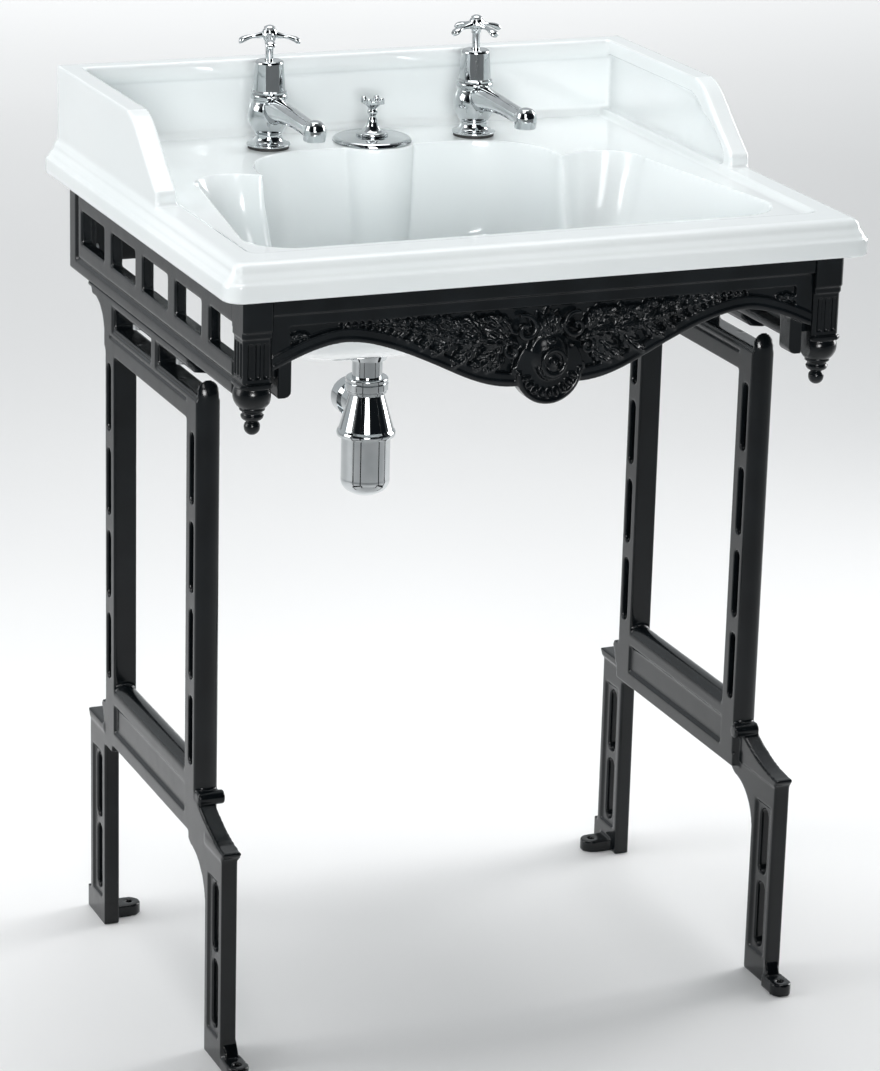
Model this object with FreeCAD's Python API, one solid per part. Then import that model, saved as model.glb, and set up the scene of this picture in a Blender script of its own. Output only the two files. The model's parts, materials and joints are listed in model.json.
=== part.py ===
import FreeCAD, Part
import math
import os

# Console sink with legs: a traditional washbasin with an upstand, carried on a cast openwork
# stand, with two pillar taps, a deck-operated plunger waste and a bottle trap.
#
# Frame: millimetres, +X right, -Y towards the user, +Y towards the wall, +Z up.
# Origin: on the floor, below the centre of the basin.

Vec = FreeCAD.Vector
UP = Vec(0, 0, 1)
LEFT, RIGHT = -1, 1
SIDES = ((LEFT, "left"), (RIGHT, "right"))

# ---------------------------------------------------------------- driving dimensions

# basin
basin_width = 650.0
basin_depth = 560.0
rim_bottom_z = 781.0
rim_corner_r = 18.0
fascia_height = 17.0
rim_height = 35.0
rim_band = 36.0
deck_drop = 5.0
deck_thickness = 14.0
bowl_wall = 9.0
bowl_depth = 130.0
bowl_side_margin = 55.0
bowl_rear_margin = 87.0
bowl_front_gap = 74.0
bowl_shoulder_gap = 106.0
cusp_half = 160.0
cusp_dip = 13.0
lobe_gap = 23.0
lobe_overlap = 130.0
lobe_corner_r = 78.0
upstand_height = 75.0
upstand_inset = 13.0
upstand_thickness = 14.0
cornice_projection = 7.0
cornice_height = 16.0
wing_top_depth = 235.0
wing_foot_depth = 317.0

# waste passage through the basin
fitting_setback = 79.0
well_bore_r = 33.0
well_wall = 11.0
well_floor = 14.0
outlet_boss_drop = 188.0
outlet_boss_r = 34.0
outlet_bore_r = 22.0
weir_half = 20.0
weir_height = 26.0

# stand
stand_inset = 22.0
casting_thickness = 24.0
leg_thickness = 16.0
rail_height = 94.0
rail_web = 12.0
rail_flange = 8.0
rail_bowl_gap = 7.0
rail_wall_gap = 5.0
window_width = 75.0
window_height = 34.0
window_pitch = 98.0
window_count = 5
window_sill = 33.0
rear_window_gap = 85.0
pad_thickness = 3.0
groove_depth = 3.0

upright_depth = 33.0
front_upright_setback = 145.0
rear_upright_setback = 126.0
top_rail_height = 58.0
crossbar_bottom_z = 211.0
crossbar_height = 56.0
crossbar_roof = 12.0
lower_leg_depth = 50.0
front_leg_setback = 66.0
rear_leg_setback = 78.0
cap_projection = 3.0
cap_overhang = 2.0
cap_height = 15.0
knuckle_r = 7.0
slot_width = 12.0
upright_slots = 4
leg_slots = 2
slot_bridge = 18.0
lug_thickness = 13.0
lug_r = 12.0
floor_screw_r = 3.25
front_lug_reach = 32.0
rear_lug_reach = 30.0

# corner posts and front apron
post_inset = 14.0
post_setback = 35.0
post_width = 28.0
post_depth = 30.0
post_block = 30.0
post_block_height = 35.0
post_shaft_height = 43.0
post_cushion_height = 24.0
pendant_length = 27.0
pendant_stud_r = 4.0
pendant_stud_length = 12.0
apron_thickness = 12.0
apron_setback = 24.0
apron_fascia_height = 15.0
apron_band_height = 12.0
apron_field_recess = 5.0
apron_arch_share = 0.745
apron_arch_drop = 46.0
apron_end_drop = 68.0
apron_centre_drop = 102.0
apron_moulding = 13.0
cartouche_r = 34.0
cartouche_drop = 87.0
corbel_width = 13.0
corbel_depth = 22.0
corbel_inset = 8.0
corbel_length = 27.0

# fixings through the rear rail and into the wall
wall_screw_x = 150.0
wall_screw_r = 4.0

# screws
screw_r = 3.0
screw_head_r = 4.8
screw_head_height = 5.0
screw_clearance = 0.3
blind_depth = 9.0

# taps
tap_spacing = 226.0
tap_hole_r = 13.0
tap_tail_r = 10.4
tap_tail_length = 46.0
tap_spigot_r = 10.0
tap_spigot_length = 19.0
tap_flange_r = 22.5
tap_bulb_r = 21.5
tap_body_height = 57.0
spout_reach = 132.0
spout_centre = 43.0
spout_bore_r = 5.5
nozzle_r = 11.0
nozzle_drop = 9.0
bonnet_height = 33.0
bonnet_bottom_r = 16.5
bonnet_top_r = 14.5
bonnet_wall = 2.0
spindle_r = 4.0
spindle_fit = 0.05
handle_height = 115.5
handle_span = 62.0
handle_hub_r = 7.5
handle_arm_r = 2.6
handle_tip_r = 5.2
handle_droop = 8.0
headwork_r = 9.0
valve_disc_r = 7.5
valve_disc_height = 3.0

# plunger waste
escutcheon_r = 41.0
escutcheon_height = 5.0
collar_r = 15.0
guide_height = 25.0
guide_top_r = 4.8
rod_r = 3.0
rod_fit = 0.08
catch_pin_r = 1.0
catch_pin_half = 5.5
catch_bore_r = 6.2
catch_ledge = 3.0
waste_lift = 20.0
knob_height = 46.0
knob_r = 13.0
standpipe_r = 13.0
standpipe_wall = 1.6
overflow_gap = 34.0
plug_r = 19.0
plug_height = 9.0

# waste body and bottle trap
waste_tube_r = 16.0
waste_bore_r = 14.2
waste_flange_r = 26.0
waste_flange_height = 3.0
waste_tail_overlap = 10.0
washer_thickness = 3.0
backnut_r = 22.5
backnut_height = 10.0
inlet_nut_r = 22.5
inlet_nut_height = 15.0
trap_drop = 47.0
cone_top_r = 18.5
cone_rim_r = 30.5
cone_height = 49.0
cone_rim_height = 6.0
trap_wall = 2.2
cup_r = 26.0
cup_height = 66.0
outlet_drop = 19.0
outlet_pipe_r = 16.25
outlet_reach = 44.0
outlet_nut_r = 21.0
outlet_nut_length = 17.0
seal_thickness = 2.5
thread_gap = 0.05

# ---------------------------------------------------------------- places worked out from them

basin_back_y = basin_depth / 2
basin_front_y = -basin_depth / 2
rim_top_z = rim_bottom_z + rim_height
deck_z = rim_top_z - deck_drop
upstand_top_z = rim_top_z + upstand_height
bowl_floor_z = deck_z - bowl_depth
bowl_front_y = basin_front_y + bowl_front_gap
bowl_front_half = basin_width / 2 - bowl_side_margin
bowl_rear_half = basin_width / 2 - bowl_rear_margin
fitting_y = basin_back_y - fitting_setback
bowl_shoulder_y = fitting_y - bowl_shoulder_gap
lobe_rear_y = fitting_y - lobe_gap
wing_front_y = basin_back_y - wing_top_depth
wing_foot_y = basin_back_y - wing_foot_depth
upstand_outer_x = basin_width / 2 - upstand_inset
upstand_inner_x = upstand_outer_x - upstand_thickness
upstand_rear_inner_y = basin_back_y - upstand_thickness
outlet_face_z = rim_bottom_z - outlet_boss_drop
well_floor_z = outlet_face_z + well_floor

stand_outer_x = basin_width / 2 - stand_inset
stand_inner_x = stand_outer_x - casting_thickness
leg_inner_x = stand_outer_x - leg_thickness
leg_mid_x = stand_outer_x - leg_thickness / 2
rail_mid_x = stand_outer_x - rail_web / 2
rail_top_z = rim_bottom_z - pad_thickness
rail_bottom_z = rail_top_z - rail_height
rail_inner_x = stand_outer_x - rail_web
rail_flange_x = bowl_front_half + rail_bowl_gap
post_x = stand_outer_x - post_inset
post_y = basin_front_y + post_setback
rail_front_y = post_y + post_depth / 2
rail_rear_y = basin_back_y - rail_wall_gap
rear_window_y = rail_rear_y - rear_window_gap
front_upright_y = basin_front_y + front_upright_setback
rear_upright_y = basin_back_y - rear_upright_setback
front_leg_y = basin_front_y + front_leg_setback
rear_leg_y = basin_back_y - rear_leg_setback
top_rail_bottom_z = rail_bottom_z - top_rail_height
crossbar_top_z = crossbar_bottom_z + crossbar_height
casting_mid_x = stand_outer_x - casting_thickness / 2

apron_front_y = basin_front_y + apron_setback
apron_end_x = post_x - post_width / 2
apron_arch_z = rail_top_z - apron_arch_drop
apron_end_z = rail_top_z - apron_end_drop
apron_centre_z = rail_top_z - apron_centre_drop
cartouche_z = rail_top_z - cartouche_drop
corbel_bottom_z = apron_end_z - corbel_length

cone_top_z = outlet_face_z - trap_drop
waste_tail_end_z = cone_top_z + waste_tail_overlap
cone_rim_z = cone_top_z - cone_height
cup_bottom_z = cone_rim_z - cup_height
outlet_z = cone_top_z - outlet_drop

tap_x = tap_spacing / 2
bonnet_bottom_z = deck_z + tap_body_height
bonnet_top_z = bonnet_bottom_z + bonnet_height
valve_seat_z = bonnet_bottom_z - 16.0

nodes = {}


# ---------------------------------------------------------------- drawing helpers

def box(x0, x1, y0, y1, z0, z1):
    solid = Part.makeBox(abs(x1 - x0), abs(y1 - y0), abs(z1 - z0))
    solid.translate(Vec(min(x0, x1), min(y0, y1), min(z0, z1)))
    return solid


def rod(radius, start, end):
    axis = end - start
    return Part.makeCylinder(radius, axis.Length, start, axis)


def upright_cylinder(radius, z0, z1, x=0.0, y=0.0):
    return rod(radius, Vec(x, y, z0), Vec(x, y, z1))


def cone(r0, r1, z0, z1, x=0.0, y=0.0):
    return Part.makeCone(r0, r1, z1 - z0, Vec(x, y, z0), UP)


def ball(radius, centre):
    return Part.makeSphere(radius, centre)


def outline(points, place):
    """Closed wire through points; a ("via", middle, end) entry is an arc. place maps 2D to 3D."""
    edges = []
    here = place(*points[0])
    first = here
    for entry in points[1:]:
        if entry[0] == "via":
            middle, end = place(*entry[1]), place(*entry[2])
            edges.append(Part.Arc(here, middle, end).toShape())
        else:
            end = place(*entry)
            edges.append(Part.makeLine(here, end))
        here = end
    if here.distanceToPoint(first) > 1e-6:
        edges.append(Part.makeLine(here, first))
    return Part.Wire(edges)


def prism(points, place, direction):
    return Part.Face(outline(points, place)).extrude(direction)


def side_prism(points, x0, x1):
    """Side profile in (y, z), extruded across X."""
    return prism(points, lambda y, z: Vec(x0, y, z), Vec(x1 - x0, 0, 0))


def front_prism(points, y0, y1):
    """Front profile in (x, z), extruded along Y."""
    return prism(points, lambda x, z: Vec(x, y0, z), Vec(0, y1 - y0, 0))


def plan_prism(points, z0, z1):
    """Plan profile in (x, y), extruded along Z."""
    return prism(points, lambda x, y: Vec(x, y, z0), Vec(0, 0, z1 - z0))


def turned(points, x=0.0, y=0.0):
    """Lathe profile in (radius, z) about the vertical line at x, y."""
    face = Part.Face(outline(points, lambda r, z: Vec(x + r, y, z)))
    return face.revolve(Vec(x, y, 0), UP, 360)


def ring(r_in, r_out, z0, z1, x=0.0, y=0.0):
    return upright_cylinder(r_out, z0, z1, x, y).cut(upright_cylinder(r_in, z0 - 1, z1 + 1, x, y))


def dome(radius, edge_z, apex_z):
    """Arc from (radius, edge_z) to the axis at apex_z, with its centre on the axis."""
    rise = apex_z - edge_z
    curve = (radius ** 2 + rise ** 2) / (2 * abs(rise))
    sag = curve - math.sqrt(curve ** 2 - radius ** 2 / 4)
    return ("via", (radius / 2, apex_z - math.copysign(sag, rise)), (0, apex_z))


def hexagon(radius, z0, z1, x=0.0, y=0.0):
    corners = [(x + radius * math.cos(math.radians(60 * i)), y + radius * math.sin(math.radians(60 * i)))
               for i in range(6)]
    return plan_prism(corners, z0, z1)


def rounded_outline(half_x, y0, y1, z, radius):
    """Plan outline symmetric about X=0 with its two front corners rounded."""
    bend = radius * (1 - math.sqrt(0.5))
    points = [(-half_x, y1), (-half_x, y0 + radius),
              ("via", (-half_x + bend, y0 + bend), (-half_x + radius, y0)),
              (half_x - radius, y0),
              ("via", (half_x - bend, y0 + bend), (half_x, y0 + radius)),
              (half_x, y1)]
    return outline(points, lambda x, y: Vec(x, y, z))


def rounded_plate(half_x, y0, y1, z0, z1, radius):
    return Part.Face(rounded_outline(half_x, y0, y1, z0, radius)).extrude(Vec(0, 0, z1 - z0))


def slot_cutter(y, z0, z1, width, x0, x1):
    """Upright slot with round ends, cut across X."""
    r = width / 2
    points = [(y - r, z0 + r), ("via", (y, z0), (y + r, z0 + r)), (y + r, z1 - r),
              ("via", (y, z1), (y - r, z1 - r))]
    return side_prism(points, x0, x1)


def fuse(solids):
    body = solids[0].fuse(solids[1:]) if len(solids) > 1 else solids[0]
    return body.removeSplitter()


def mirrored(shape):
    return shape.mirror(Vec(0, 0, 0), Vec(1, 0, 0))


def single(shape):
    """The one solid that a boolean left, unwrapped from its compound."""
    if len(shape.Solids) != 1:
        raise ValueError("expected one solid, got %d" % len(shape.Solids))
    return shape.Solids[0]


def add(name, shape):
    nodes[name] = shape


def add_pair(name, right_shape):
    """Add a right-hand piece and its mirror image."""
    add(name + "_right", right_shape)
    add(name + "_left", mirrored(right_shape))


# ---------------------------------------------------------------- basin

def bowl_section(z, inset):
    """Plan outline of the main bowl, drawn in by inset."""
    front_half = bowl_front_half - inset
    rear_half = bowl_rear_half - inset
    front_y = bowl_front_y + inset
    shoulder_y = bowl_shoulder_y - inset
    corner = max(34.0, 46.0 - inset * 0.2)
    bend = corner * (1 - math.sqrt(0.5))
    shoulder = max(26.0, 46.0 - inset * 0.3)
    inner = min(cusp_half, rear_half - shoulder - 4.0)
    middle = (rear_half - shoulder + inner) / 2
    dip = shoulder_y - cusp_dip
    points = [(-front_half + corner, front_y), (front_half - corner, front_y),
              ("via", (front_half - bend, front_y + bend), (front_half, front_y + corner)),
              (rear_half, shoulder_y - shoulder),
              ("via", (rear_half - shoulder * 0.25, shoulder_y - shoulder * 0.2), (middle + 8.0, shoulder_y)),
              (inner, dip), (-inner, dip), (-middle - 8.0, shoulder_y),
              ("via", (-rear_half + shoulder * 0.25, shoulder_y - shoulder * 0.2),
               (-rear_half, shoulder_y - shoulder)),
              (-front_half, front_y + corner),
              ("via", (-front_half + bend, front_y + bend), (-front_half + corner, front_y))]
    return outline(points, lambda x, y: Vec(x, y, z))


def lobe_section(z, inset, rear_inset):
    """Plan outline of the rear lobe of the bowl, which runs between the taps."""
    half = cusp_half - inset
    rear = lobe_rear_y - rear_inset
    front = bowl_shoulder_y - cusp_dip - lobe_overlap + inset
    r = lobe_corner_r
    bend = r * (1 - math.sqrt(0.5))
    points = [(-half, front), (half, front), (half, rear - r),
              ("via", (half - bend, rear - bend), (half - r, rear)), (-half + r, rear),
              ("via", (-half + bend, rear - bend), (-half, rear - r))]
    return outline(points, lambda x, y: Vec(x, y, z))


def bowl_stations():
    """(share of the depth, inset) pairs down the bowl's wall."""
    return ((0.0, 0.0), (0.13, 5.0), (0.32, 12.0), (0.52, 23.0), (0.69, 37.0), (0.82, 54.0),
            (0.92, 74.0), (0.975, 92.0), (1.0, 112.0))


def bowl_form(grow, drop):
    """The bowl as a solid: its cavity with grow 0, its outside with grow set to the wall."""
    sections = [bowl_section(deck_z + 12.0, -grow)] if grow == 0 else []
    for share, inset in bowl_stations():
        sections.append(bowl_section(deck_z - share * bowl_depth - drop * share, inset - grow))
    main = Part.makeLoft(sections, True, False)
    top_z = deck_z + 12.0 if grow == 0 else deck_z
    floor_z = bowl_floor_z - drop
    steps = ((0.0, 0.0, 0.0), (0.3, 2.0, 3.0), (0.6, 5.0, 6.0), (0.84, 12.0, 12.0), (1.0, 30.0, 30.0))
    lobes = [lobe_section(top_z, -grow, -grow)] if grow == 0 else []
    for share, inset, rear_inset in steps:
        z = deck_z - share * (deck_z - floor_z)
        lobes.append(lobe_section(z, inset - grow, rear_inset - grow))
    lobe = Part.makeLoft(lobes, True, False)
    return main.fuse(lobe)


def rim_profile_cutter():
    """What the rim moulding leaves away, swept around the front and both sides."""
    edge_x = basin_width / 2
    z0 = rim_bottom_z
    ledge_z = z0 + fascia_height
    cove_z = ledge_z + 8.5
    top = rim_top_z
    roll = top - cove_z - 1.0
    bend = roll * (1 - math.sqrt(0.5))
    outside = 8.0
    points = [(-outside, ledge_z), (2.0, ledge_z), (3.5, ledge_z + 0.8),
              ("via", (5.2, ledge_z + 5.4), (9.5, cove_z)), (8.6, cove_z + 1.0),
              ("via", (8.6 + bend, top - bend), (8.6 + roll, top)),
              (8.6 + roll, top + 2.0), (-outside, top + 2.0)]
    r = rim_corner_r
    front_run = edge_x - r
    front = prism(points, lambda u, z: Vec(-front_run, basin_front_y + u, z), Vec(2 * front_run, 0, 0))
    side_run = basin_depth - r + 1.0
    right = prism(points, lambda u, z: Vec(edge_x - u, basin_front_y + r, z), Vec(0, side_run, 0))
    face = Part.Face(outline(points, lambda u, z: Vec(edge_x - u, basin_front_y + r, z)))
    corner = face.revolve(Vec(front_run, basin_front_y + r, 0), UP, -90)
    return front.fuse([right, mirrored(right), corner, mirrored(corner)])


def wing_outline(inset):
    """Side profile of a wing in (y, z), drawn in from its top and front edges by inset."""
    top = upstand_top_z - inset
    front = wing_front_y + inset * 0.6
    foot = wing_foot_y + inset * 1.15
    foot_top_z = rim_top_z + 12.0
    return [(basin_back_y, deck_z - 4.0), (basin_back_y, top), (front + 6.0, top),
            ("via", (front - 9.0, top - 5.5), (front - 26.0, top - 17.5)),
            ("via", (foot + 26.0, foot_top_z + 21.0), (foot + 3.0, foot_top_z + 3.0)),
            ("via", (foot + 0.6, foot_top_z + 1.0), (foot, foot_top_z - 4.0)),
            (foot, deck_z - 4.0)]


def upstand():
    """Back wall and two ogee wings, with the cornice inside their top edge."""
    wing = side_prism(wing_outline(0.0), upstand_inner_x, upstand_outer_x)
    band = side_prism(wing_outline(0.0), upstand_inner_x - cornice_projection, upstand_inner_x)
    band = band.cut(side_prism(wing_outline(cornice_height), upstand_inner_x - cornice_projection - 1,
                               upstand_inner_x + 1))
    under = box(0, basin_width, -basin_depth, basin_depth, 0, rim_top_z)
    band = band.cut(under)
    wall = box(-upstand_outer_x, upstand_outer_x, upstand_rear_inner_y, basin_back_y,
               deck_z - 4.0, upstand_top_z)
    face_y = upstand_rear_inner_y - cornice_projection
    cornice_z = upstand_top_z - cornice_height
    cornice = side_prism([(upstand_rear_inner_y, cornice_z - 5.0), (upstand_rear_inner_y, upstand_top_z),
                          (face_y + 3.0, upstand_top_z), ("via", (face_y + 0.9, upstand_top_z - 0.9),
                                                          (face_y, upstand_top_z - 3.0)),
                          (face_y, cornice_z + 4.0), ("via", (face_y + 2.0, cornice_z - 1.0),
                                                      (upstand_rear_inner_y, cornice_z - 5.0))],
                         -upstand_outer_x, upstand_outer_x)
    return wall.fuse([wing, mirrored(wing), band, mirrored(band), cornice])


def make_basin():
    slab = rounded_plate(basin_width / 2, basin_front_y, basin_back_y, rim_bottom_z, rim_top_z, rim_corner_r)
    slab = slab.cut(rim_profile_cutter())
    slope = 7.0
    pocket_half = basin_width / 2 - rim_band
    pocket_front = basin_front_y + rim_band + 10.0
    pocket_rear = upstand_rear_inner_y - 1.0
    low_wire = rounded_outline(pocket_half - slope, pocket_front + slope, pocket_rear - slope, deck_z, 12.0)
    high_wire = rounded_outline(pocket_half, pocket_front, pocket_rear, rim_top_z + 0.1, 12.0)
    slab = slab.cut(Part.makeLoft([low_wire, high_wire], True, True))
    hollow_half = rail_flange_x - deck_thickness
    hollow = box(-hollow_half, hollow_half, basin_front_y + 60.0, basin_back_y - 16.0,
                 rim_bottom_z - 1.0, deck_z - deck_thickness)
    slab = slab.cut(hollow)
    body = slab.fuse([upstand(), bowl_form(bowl_wall, bowl_wall),
                      upright_cylinder(well_bore_r + well_wall, outlet_face_z + 18.0, deck_z, 0, fitting_y),
                      cone(outlet_boss_r, well_bore_r + well_wall, outlet_face_z, outlet_face_z + 18.0,
                           0, fitting_y)])
    cavity = bowl_form(0, 0)
    column = upright_cylinder(well_bore_r + well_wall, bowl_floor_z - 1.0, deck_z, 0, fitting_y)
    body = body.cut(cavity.cut(column))
    well = upright_cylinder(well_bore_r, well_floor_z, deck_z + 1.0, 0, fitting_y)
    outlet = upright_cylinder(outlet_bore_r, outlet_face_z - 1.0, well_floor_z + 1.0, 0, fitting_y)
    arch_z = bowl_floor_z + weir_height
    weir_front = fitting_y - well_bore_r - well_wall - 12.0
    weir = front_prism([(-weir_half, bowl_floor_z), (weir_half, bowl_floor_z),
                        (weir_half, arch_z - weir_half),
                        ("via", (0, arch_z), (-weir_half, arch_z - weir_half))], weir_front, fitting_y)
    holes = [upright_cylinder(tap_hole_r, rim_bottom_z - 1.0, deck_z + 5.0, side * tap_x, fitting_y)
             for side, _ in SIDES]
    body = body.cut([well, outlet, weir] + holes)
    add("basin", single(body.removeSplitter()))


def pad_places():
    """Where the basin rests on the side rails: (x, y) of each pad."""
    x = rail_inner_x - 6.0
    front, rear = basin_front_y + 130.0, basin_back_y - 110.0
    return [(side * x, y) for side, _ in SIDES for y in (front, (front + rear) / 2, rear)]


def make_pads():
    pads = [box(x - 9.0, x + 9.0, y - 20.0, y + 20.0, rail_top_z, rim_bottom_z) for x, y in pad_places()]
    add("basin_pads", Part.makeCompound(pads))


# ---------------------------------------------------------------- stand: side rails and leg frames

def window_places():
    return [rear_window_y - i * window_pitch for i in range(window_count)]


def rail_screw_places():
    """Y of the screws that hold a leg frame under its side rail."""
    return (front_upright_y + upright_depth + 34.0, rear_upright_y - upright_depth - 58.0)


def make_side_rails():
    inner = rail_flange_x
    web = box(rail_inner_x, stand_outer_x, rail_front_y, rail_rear_y, rail_bottom_z, rail_top_z)
    top_flange = box(inner, rail_inner_x, rail_front_y, rail_rear_y, rail_top_z - rail_flange, rail_top_z)
    bottom_flange = box(inner, rail_inner_x, rail_front_y, rail_rear_y, rail_bottom_z,
                        rail_bottom_z + rail_flange)
    end_plate = box(inner, rail_inner_x, rail_front_y, rail_front_y + 9.0, rail_bottom_z, rail_top_z)
    rail = fuse([web, top_flange, bottom_flange, end_plate])
    sill_z = rail_bottom_z + window_sill
    cuts = [box(rail_inner_x - 1, stand_outer_x + 1, y - window_width / 2, y + window_width / 2,
                sill_z, sill_z + window_height) for y in window_places()]
    groove_z = rail_bottom_z + 12.0
    groove_rear = rear_window_y + window_width / 2 + 20.0
    groove_x = stand_outer_x - groove_depth
    cuts.append(box(groove_x, stand_outer_x + 1, rail_front_y - 1, groove_rear, groove_z, groove_z + 5.0))
    cuts.append(box(groove_x, stand_outer_x + 1, groove_rear - 9.0, groove_rear, groove_z, rail_top_z + 1))
    cuts.append(box(groove_x + 1.0, stand_outer_x + 1, rail_rear_y - 6.0, rail_rear_y + 1,
                    rail_bottom_z - 1, rail_top_z + 1))
    for y in rail_screw_places():
        cuts.append(upright_cylinder(screw_r + screw_clearance, rail_bottom_z - 1,
                                     rail_bottom_z + blind_depth, rail_mid_x, y))
    for z in rear_screw_heights():
        cuts.append(rod(screw_r + screw_clearance, Vec(rail_inner_x - 1, rear_screw_y(), z),
                        Vec(rail_inner_x + blind_depth, rear_screw_y(), z)))
    for z in post_screw_heights():
        cuts.append(rod(screw_r + screw_clearance, Vec(post_screw_x(), rail_front_y - 1, z),
                        Vec(post_screw_x(), rail_front_y + 10.0, z)))
    add_pair("side_rail", single(rail.cut(cuts)))


def upright_plan(y_front, round_front):
    """Plan profile of an upright; the outward end is rounded."""
    y0, y1 = y_front, y_front + upright_depth
    x0, x1 = stand_inner_x, stand_outer_x
    mid = (x0 + x1) / 2
    reach = 5.0
    if round_front:
        return [(x0, y1), (x0, y0 + reach), ("via", (mid, y0), (x1, y0 + reach)), (x1, y1)]
    return [(x0, y0), (x0, y1 - reach), ("via", (mid, y1), (x1, y1 - reach)), (x1, y0)]


def crossbar():
    """Ribbed bar between the uprights: bottom bead, web, top bead and a rounded roof."""
    x0, x1 = stand_inner_x, stand_outer_x
    bead = cap_height
    web = 3.0
    z0, z1 = crossbar_bottom_z, crossbar_top_z
    upper = z1 - 9.0
    profile = [(x0, z0), (x1, z0), (x1, z0 + bead), (x1 - web, z0 + bead + web), (x1 - web, upper - web),
               (x1, upper), (x1, z1), ("via", (casting_mid_x, z1 + crossbar_roof), (x0, z1)),
               (x0, upper), (x0 + web, upper - web), (x0 + web, z0 + bead + web), (x0, z0 + bead)]
    return front_prism(profile, front_upright_y + 8.0, rear_upright_y - 5.0)


def cap_bar():
    """Moulded cap line that runs over both lower legs and under the crossbar."""
    z0, z1 = crossbar_bottom_z, crossbar_bottom_z + cap_height
    over = cap_projection
    low = box(leg_inner_x, stand_outer_x, front_leg_y, rear_leg_y, z0, z1).fuse(
        box(stand_inner_x, stand_outer_x, front_upright_y + 3.0, rear_upright_y - 2.0, z0, z1))
    x0, x1 = leg_inner_x - cap_overhang, stand_outer_x + cap_overhang / 2
    rear = side_prism([(rear_leg_y - lower_leg_depth, z1 - 8.0), (rear_leg_y, z1 - 8.0),
                       (rear_leg_y + over, z1 - 4.0), ("via", (rear_leg_y + over + 1.0, z1 - 1.5),
                                                        (rear_leg_y + over - 2.0, z1)),
                       (rear_leg_y - lower_leg_depth, z1)], x0, x1)
    front_rear_y = front_leg_y + lower_leg_depth
    front = side_prism([(front_rear_y, z1 - 8.0), (front_leg_y, z1 - 8.0), (front_leg_y - over, z1 - 4.0),
                        ("via", (front_leg_y - over - 1.0, z1 - 1.5), (front_leg_y - over + 2.0, z1)),
                        (front_rear_y, z1)], x0, x1)
    return low.fuse([rear, front])


def front_swoop():
    """The hollow curve that steps the front upright forward to the lower leg, and its knuckle."""
    z_cap = crossbar_bottom_z + cap_height
    z_top = crossbar_top_z - 18.0
    back = front_upright_y + 12.0
    start_y, end_y = front_upright_y - 4.0, front_leg_y + 3.0
    hollow = [(back, z_cap - 8.0), (back, z_top), (start_y, z_top),
              ("via", ((start_y + end_y) / 2, (z_top + z_cap) / 2 - 4.0), (end_y, z_cap)),
              (end_y, z_cap - 8.0)]
    solid = side_prism(hollow, leg_inner_x - cap_overhang, stand_outer_x)
    knuckle = rod(knuckle_r, Vec(stand_inner_x - 4.0, front_upright_y - 2.0, z_top + 3.0),
                  Vec(stand_outer_x - 0.5, front_upright_y - 2.0, z_top + 3.0))
    return solid.fuse(knuckle)


def rear_knuckle():
    z = crossbar_bottom_z + cap_height
    points = [(rear_upright_y - 8.0, z), (rear_upright_y + 1.0, z), (rear_upright_y + 5.0, z + 14.0),
              ("via", (rear_upright_y + 8.0, z + 21.0), (rear_upright_y, z + 25.0)),
              (rear_upright_y - 8.0, z + 25.0)]
    return side_prism(points, stand_inner_x, stand_outer_x)


def top_rail():
    """Upper bar of the leg frame, with the rear bracket under the side rail."""
    z0, z1 = top_rail_bottom_z, rail_bottom_z
    tip = rear_upright_y + 52.0
    points = [(front_upright_y + upright_depth, z0), (rear_upright_y - 5.0, z0), (rear_upright_y, z0 + 6.0),
              (rear_upright_y, z0 + 22.0),
              ("via", (rear_upright_y + 7.0, z1 - 21.0), (tip - 14.0, z1 - 10.0)),
              (tip - 10.0, z1 - 4.0), (tip, z1 - 4.0), (tip, z1), (front_upright_y + upright_depth, z1)]
    return side_prism(points, stand_inner_x, stand_outer_x)


def curl():
    """Quarter-round top of the front upright, which turns back under the side rail."""
    r = upright_depth
    z = rail_bottom_z - r
    face = Part.Face(outline(upright_plan(front_upright_y, True), lambda x, y: Vec(x, y, z)))
    return face.revolve(Vec(0, front_upright_y + r, z), Vec(1, 0, 0), -90)


def lower_leg(y_front):
    return box(leg_inner_x, stand_outer_x, y_front, y_front + lower_leg_depth, 0, crossbar_bottom_z)


def leg_brackets():
    z1 = crossbar_bottom_z
    rear_front_y = rear_leg_y - lower_leg_depth
    rear = box(leg_inner_x, stand_outer_x, rear_front_y - 25.0, rear_front_y, z1 - 8.0, z1)
    y0 = front_leg_y + lower_leg_depth
    front = side_prism([(y0 - 2.0, z1 - 58.0), (y0, z1 - 58.0),
                        ("via", (y0 + 13.6, z1 - 25.4), (y0 + 42.0, z1 - 12.0)), (y0 + 50.0, z1 - 8.0),
                        (y0 + 50.0, z1), (y0 - 2.0, z1)], leg_inner_x, stand_outer_x)
    return [rear, front]


def lug_places():
    """(x, y) of the floor screw holes of the right leg frame: front, then rear."""
    return ((leg_mid_x - 2.0, front_leg_y - front_lug_reach + lug_r),
            (leg_inner_x - rear_lug_reach + lug_r, rear_leg_y - lower_leg_depth / 2))


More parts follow.
